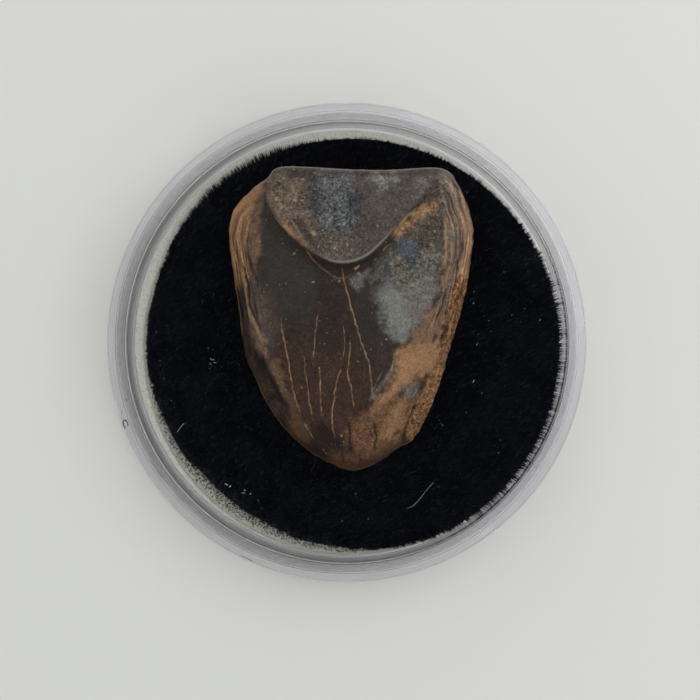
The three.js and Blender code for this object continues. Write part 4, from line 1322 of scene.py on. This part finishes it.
class FossilStageSettings(bpy.types.PropertyGroup):
    """The camera, the lights and the table top"""

    camera_x: size_setting("Camera X", "Camera's place across the jar", 0.00027)
    camera_y: size_setting("Camera Y", "Camera's place along the tooth", -0.00065)
    camera_height: size_setting("Camera Height", "Height of the camera above the jar's rim", 0.2)
    field_width: size_setting("Field Width", "Width of the view at the height of the rim", 0.0581)
    table: colour_setting("Table", "Colour of the table top", (0.8, 0.805, 0.79))
    surroundings: colour_setting("Surroundings", "Colour of the even light around", (0.98, 1.0, 0.94))
    surroundings_strength: number_setting("Surroundings Strength", "Strength of the even light", 0.52)
    key_power: power_setting("Key", "Large soft light on the right", 0.62)
    top_power: power_setting("Top", "Low light beyond the worn edge", 0.26)
    left_power: power_setting("Left", "Weak low light on the left", 0.12)
    strip_power: power_setting("Strip", "Small light that gleams on the rim", 0.12)


class FossilJarSettings(bpy.types.PropertyGroup):
    """The jar base's clear plastic"""

    plastic: colour_setting("Plastic", "Colour of the clear plastic's surface", (0.952, 0.947, 0.972))
    depth_tint: colour_setting("Depth Tint", "Colour that the plastic's thickness gives", (0.6, 0.585, 0.67))
    density: number_setting("Density", "Strength of the depth tint, for each metre", 15.0)
    dimmed: colour_setting(
        "Dimmed", "Share of the lamps' light that each surface lets through", (0.8, 0.8, 0.8)
    )
    ior: number_setting("IOR", "How strongly the plastic bends light", 1.59)
    roughness: number_setting("Roughness", "Roughness of the polished plastic", 0.03)
    columns: count_setting("Columns", "Steps round the jar", 480)


class FossilPadSettings(bpy.types.PropertyGroup):
    """The foam, the velvet and the lint on it"""

    # Both greys are darker than the white foam: painted shade, and the darker cell insides are painted shade
    # in the hollows.
    foam_light: colour_setting("Foam Light", "Colour of the foam's cell walls", (0.57, 0.57, 0.52))
    foam_shade: colour_setting("Foam Shade", "Colour inside the foam's cells", (0.425, 0.425, 0.385))
    # The bare ground's greys are darker than its white: painted shade at the pad's edge.
    backing: colour_setting("Backing", "Colour of the velvet's bare ground", (0.41, 0.41, 0.36))
    backing_shade: colour_setting("Backing Shade", "Dark threads of the bare ground", (0.3, 0.295, 0.265))
    pile_black: colour_setting("Pile", "Colour of the pile", (0.008, 0.0085, 0.014))
    pile_sheen: colour_setting(
        "Pile Sheen", "Colour of the pile where it catches light", (0.03, 0.035, 0.058)
    )
    pile_glint: colour_setting("Pile Glint", "Colour of single hairs that catch light", (0.16, 0.19, 0.25))
    ground: size_setting("Ground", "Thickness of the velvet's ground", 0.0002)
    bare_width: size_setting("Bare Width", "Greatest width of the bare crescent", 0.00102)
    bare_direction: number_setting("Bare Direction", "Middle of the bare crescent, in degrees from +X", 230.0)
    nap_direction: number_setting("Nap Direction", "Where the pile leans, in degrees from +X", 37.0)
    nap_lean: size_setting("Nap Lean", "How far the pile leans", 0.00044)
    stub_gap: size_setting("Stub Gap", "Gap between the worn stubs of the bare crescent", 0.0002)
    hairs: count_setting("Hairs", "Number of hairs in the pile", 150000)
    flecks: count_setting("Flecks", "Number of lint flecks", 160)


class FossilToothSettings(bpy.types.PropertyGroup):
    """The tooth's colours and the fineness of its mesh"""

    brown: colour_setting("Brown", "Dark brown enamel of the face", (0.0305, 0.0195, 0.016))
    facet: colour_setting("Facet", "Plum brown of the worn facet", (0.075, 0.058, 0.053))
    underside: colour_setting("Underside", "Ochre brown of the hidden side", (0.15, 0.082, 0.044))
    ochre: colour_setting("Ochre", "Spots of ochre", (0.3, 0.215, 0.125))
    pale_dots: colour_setting("Pale Dots", "Tiny pale dots on the face", (0.2, 0.165, 0.135))
    # Also the colour of the painted shade under the lip and on the lower left flank.
    groove_and_shade: colour_setting("Groove", "Bottoms of the grooves", (0.01, 0.006, 0.0045))
    gold: colour_setting("Gold", "Mineral in the cracks", (0.27, 0.165, 0.08))
    # Also the colour of the painted highlights on the lip and the top rim.
    worn_edge_and_highlight: colour_setting("Worn Edge", "Pale polished edges", (0.22, 0.19, 0.175))
    columns: count_setting("Columns", "Steps round the tooth", 512)
    top_rings: count_setting("Top Rings", "Steps from the middle to the outline", 150)
    under_rings: count_setting("Underside Rings", "Steps from the outline to the flat spot", 38)


class FOSSIL_OT_stage(bpy.types.Operator):
    """Adds the table top, the lights and the camera"""

    bl_idname = "fossil.stage"
    bl_label = "Stage"

    def execute(self, context):
        build_stage(context.scene.fossil_stage)
        return {"FINISHED"}


class FOSSIL_OT_jar(bpy.types.Operator):
    """Adds the clear jar base and its scuffs"""

    bl_idname = "fossil.jar"
    bl_label = "Jar Base"

    def execute(self, context):
        build_jar(context.scene.fossil_jar)
        build_scuffs()
        return {"FINISHED"}


class FOSSIL_OT_pad(bpy.types.Operator):
    """Adds the foam disc, the velvet's ground, its pile and its worn stubs"""

    bl_idname = "fossil.pad"
    bl_label = "Velvet Pad"

    def execute(self, context):
        settings = context.scene.fossil_pad
        build_foam(settings)
        build_backing(settings)
        material = velvet_pile(settings)
        for quarter in range(4):
            build_pile(settings, quarter, material)
        build_stubs(settings, material)
        return {"FINISHED"}


class FOSSIL_OT_lint(bpy.types.Operator):
    """Adds the bits of lint on the velvet"""

    bl_idname = "fossil.lint"
    bl_label = "Lint"

    def execute(self, context):
        build_lint(context.scene.fossil_pad)
        return {"FINISHED"}


class FOSSIL_OT_tooth(bpy.types.Operator):
    """Adds the fossil tooth"""

    bl_idname = "fossil.tooth"
    bl_label = "Fossil Tooth"

    def execute(self, context):
        build_tooth(context.scene.fossil_tooth)
        return {"FINISHED"}


class FOSSIL_PT_panel(bpy.types.Panel):
    """Lists the settings and the pieces"""

    bl_label = "Fossil Tooth"
    bl_idname = "FOSSIL_PT_panel"
    bl_space_type = "VIEW_3D"
    bl_region_type = "UI"
    bl_category = "Fossil Tooth"

    def draw(self, context):
        for operator, group in STEPS:
            box = self.layout.box()
            settings = getattr(context.scene, group)
            for name in settings.bl_rna.properties.keys():
                if name not in ("rna_type", "name"):
                    box.prop(settings, name)
            box.operator(operator.bl_idname)


GROUPS = {
    "fossil_stage": FossilStageSettings,
    "fossil_jar": FossilJarSettings,
    "fossil_pad": FossilPadSettings,
    "fossil_tooth": FossilToothSettings,
}
STEPS = [
    (FOSSIL_OT_stage, "fossil_stage"),
    (FOSSIL_OT_jar, "fossil_jar"),
    (FOSSIL_OT_pad, "fossil_pad"),
    (FOSSIL_OT_lint, "fossil_pad"),
    (FOSSIL_OT_tooth, "fossil_tooth"),
]


def register():
    """Registers the settings, the operators and the panel, and adds the settings to the scene."""
    for group in GROUPS.values():
        bpy.utils.register_class(group)
    for operator, _ in STEPS:
        bpy.utils.register_class(operator)
    bpy.utils.register_class(FOSSIL_PT_panel)
    for name, group in GROUPS.items():
        setattr(bpy.types.Scene, name, bpy.props.PointerProperty(type=group))


def unregister():
    """Takes away what register added, in the opposite order."""
    for name in GROUPS:
        delattr(bpy.types.Scene, name)
    bpy.utils.unregister_class(FOSSIL_PT_panel)
    for operator, _ in reversed(STEPS):
        bpy.utils.unregister_class(operator)
    for group in GROUPS.values():
        bpy.utils.unregister_class(group)


def main():
    """Registers the add-on and builds each piece."""
    register()
    bpy.ops.fossil.stage()
    bpy.ops.fossil.jar()
    bpy.ops.fossil.pad()
    bpy.ops.fossil.lint()
    bpy.ops.fossil.tooth()


if __name__ == "__main__":
    main()
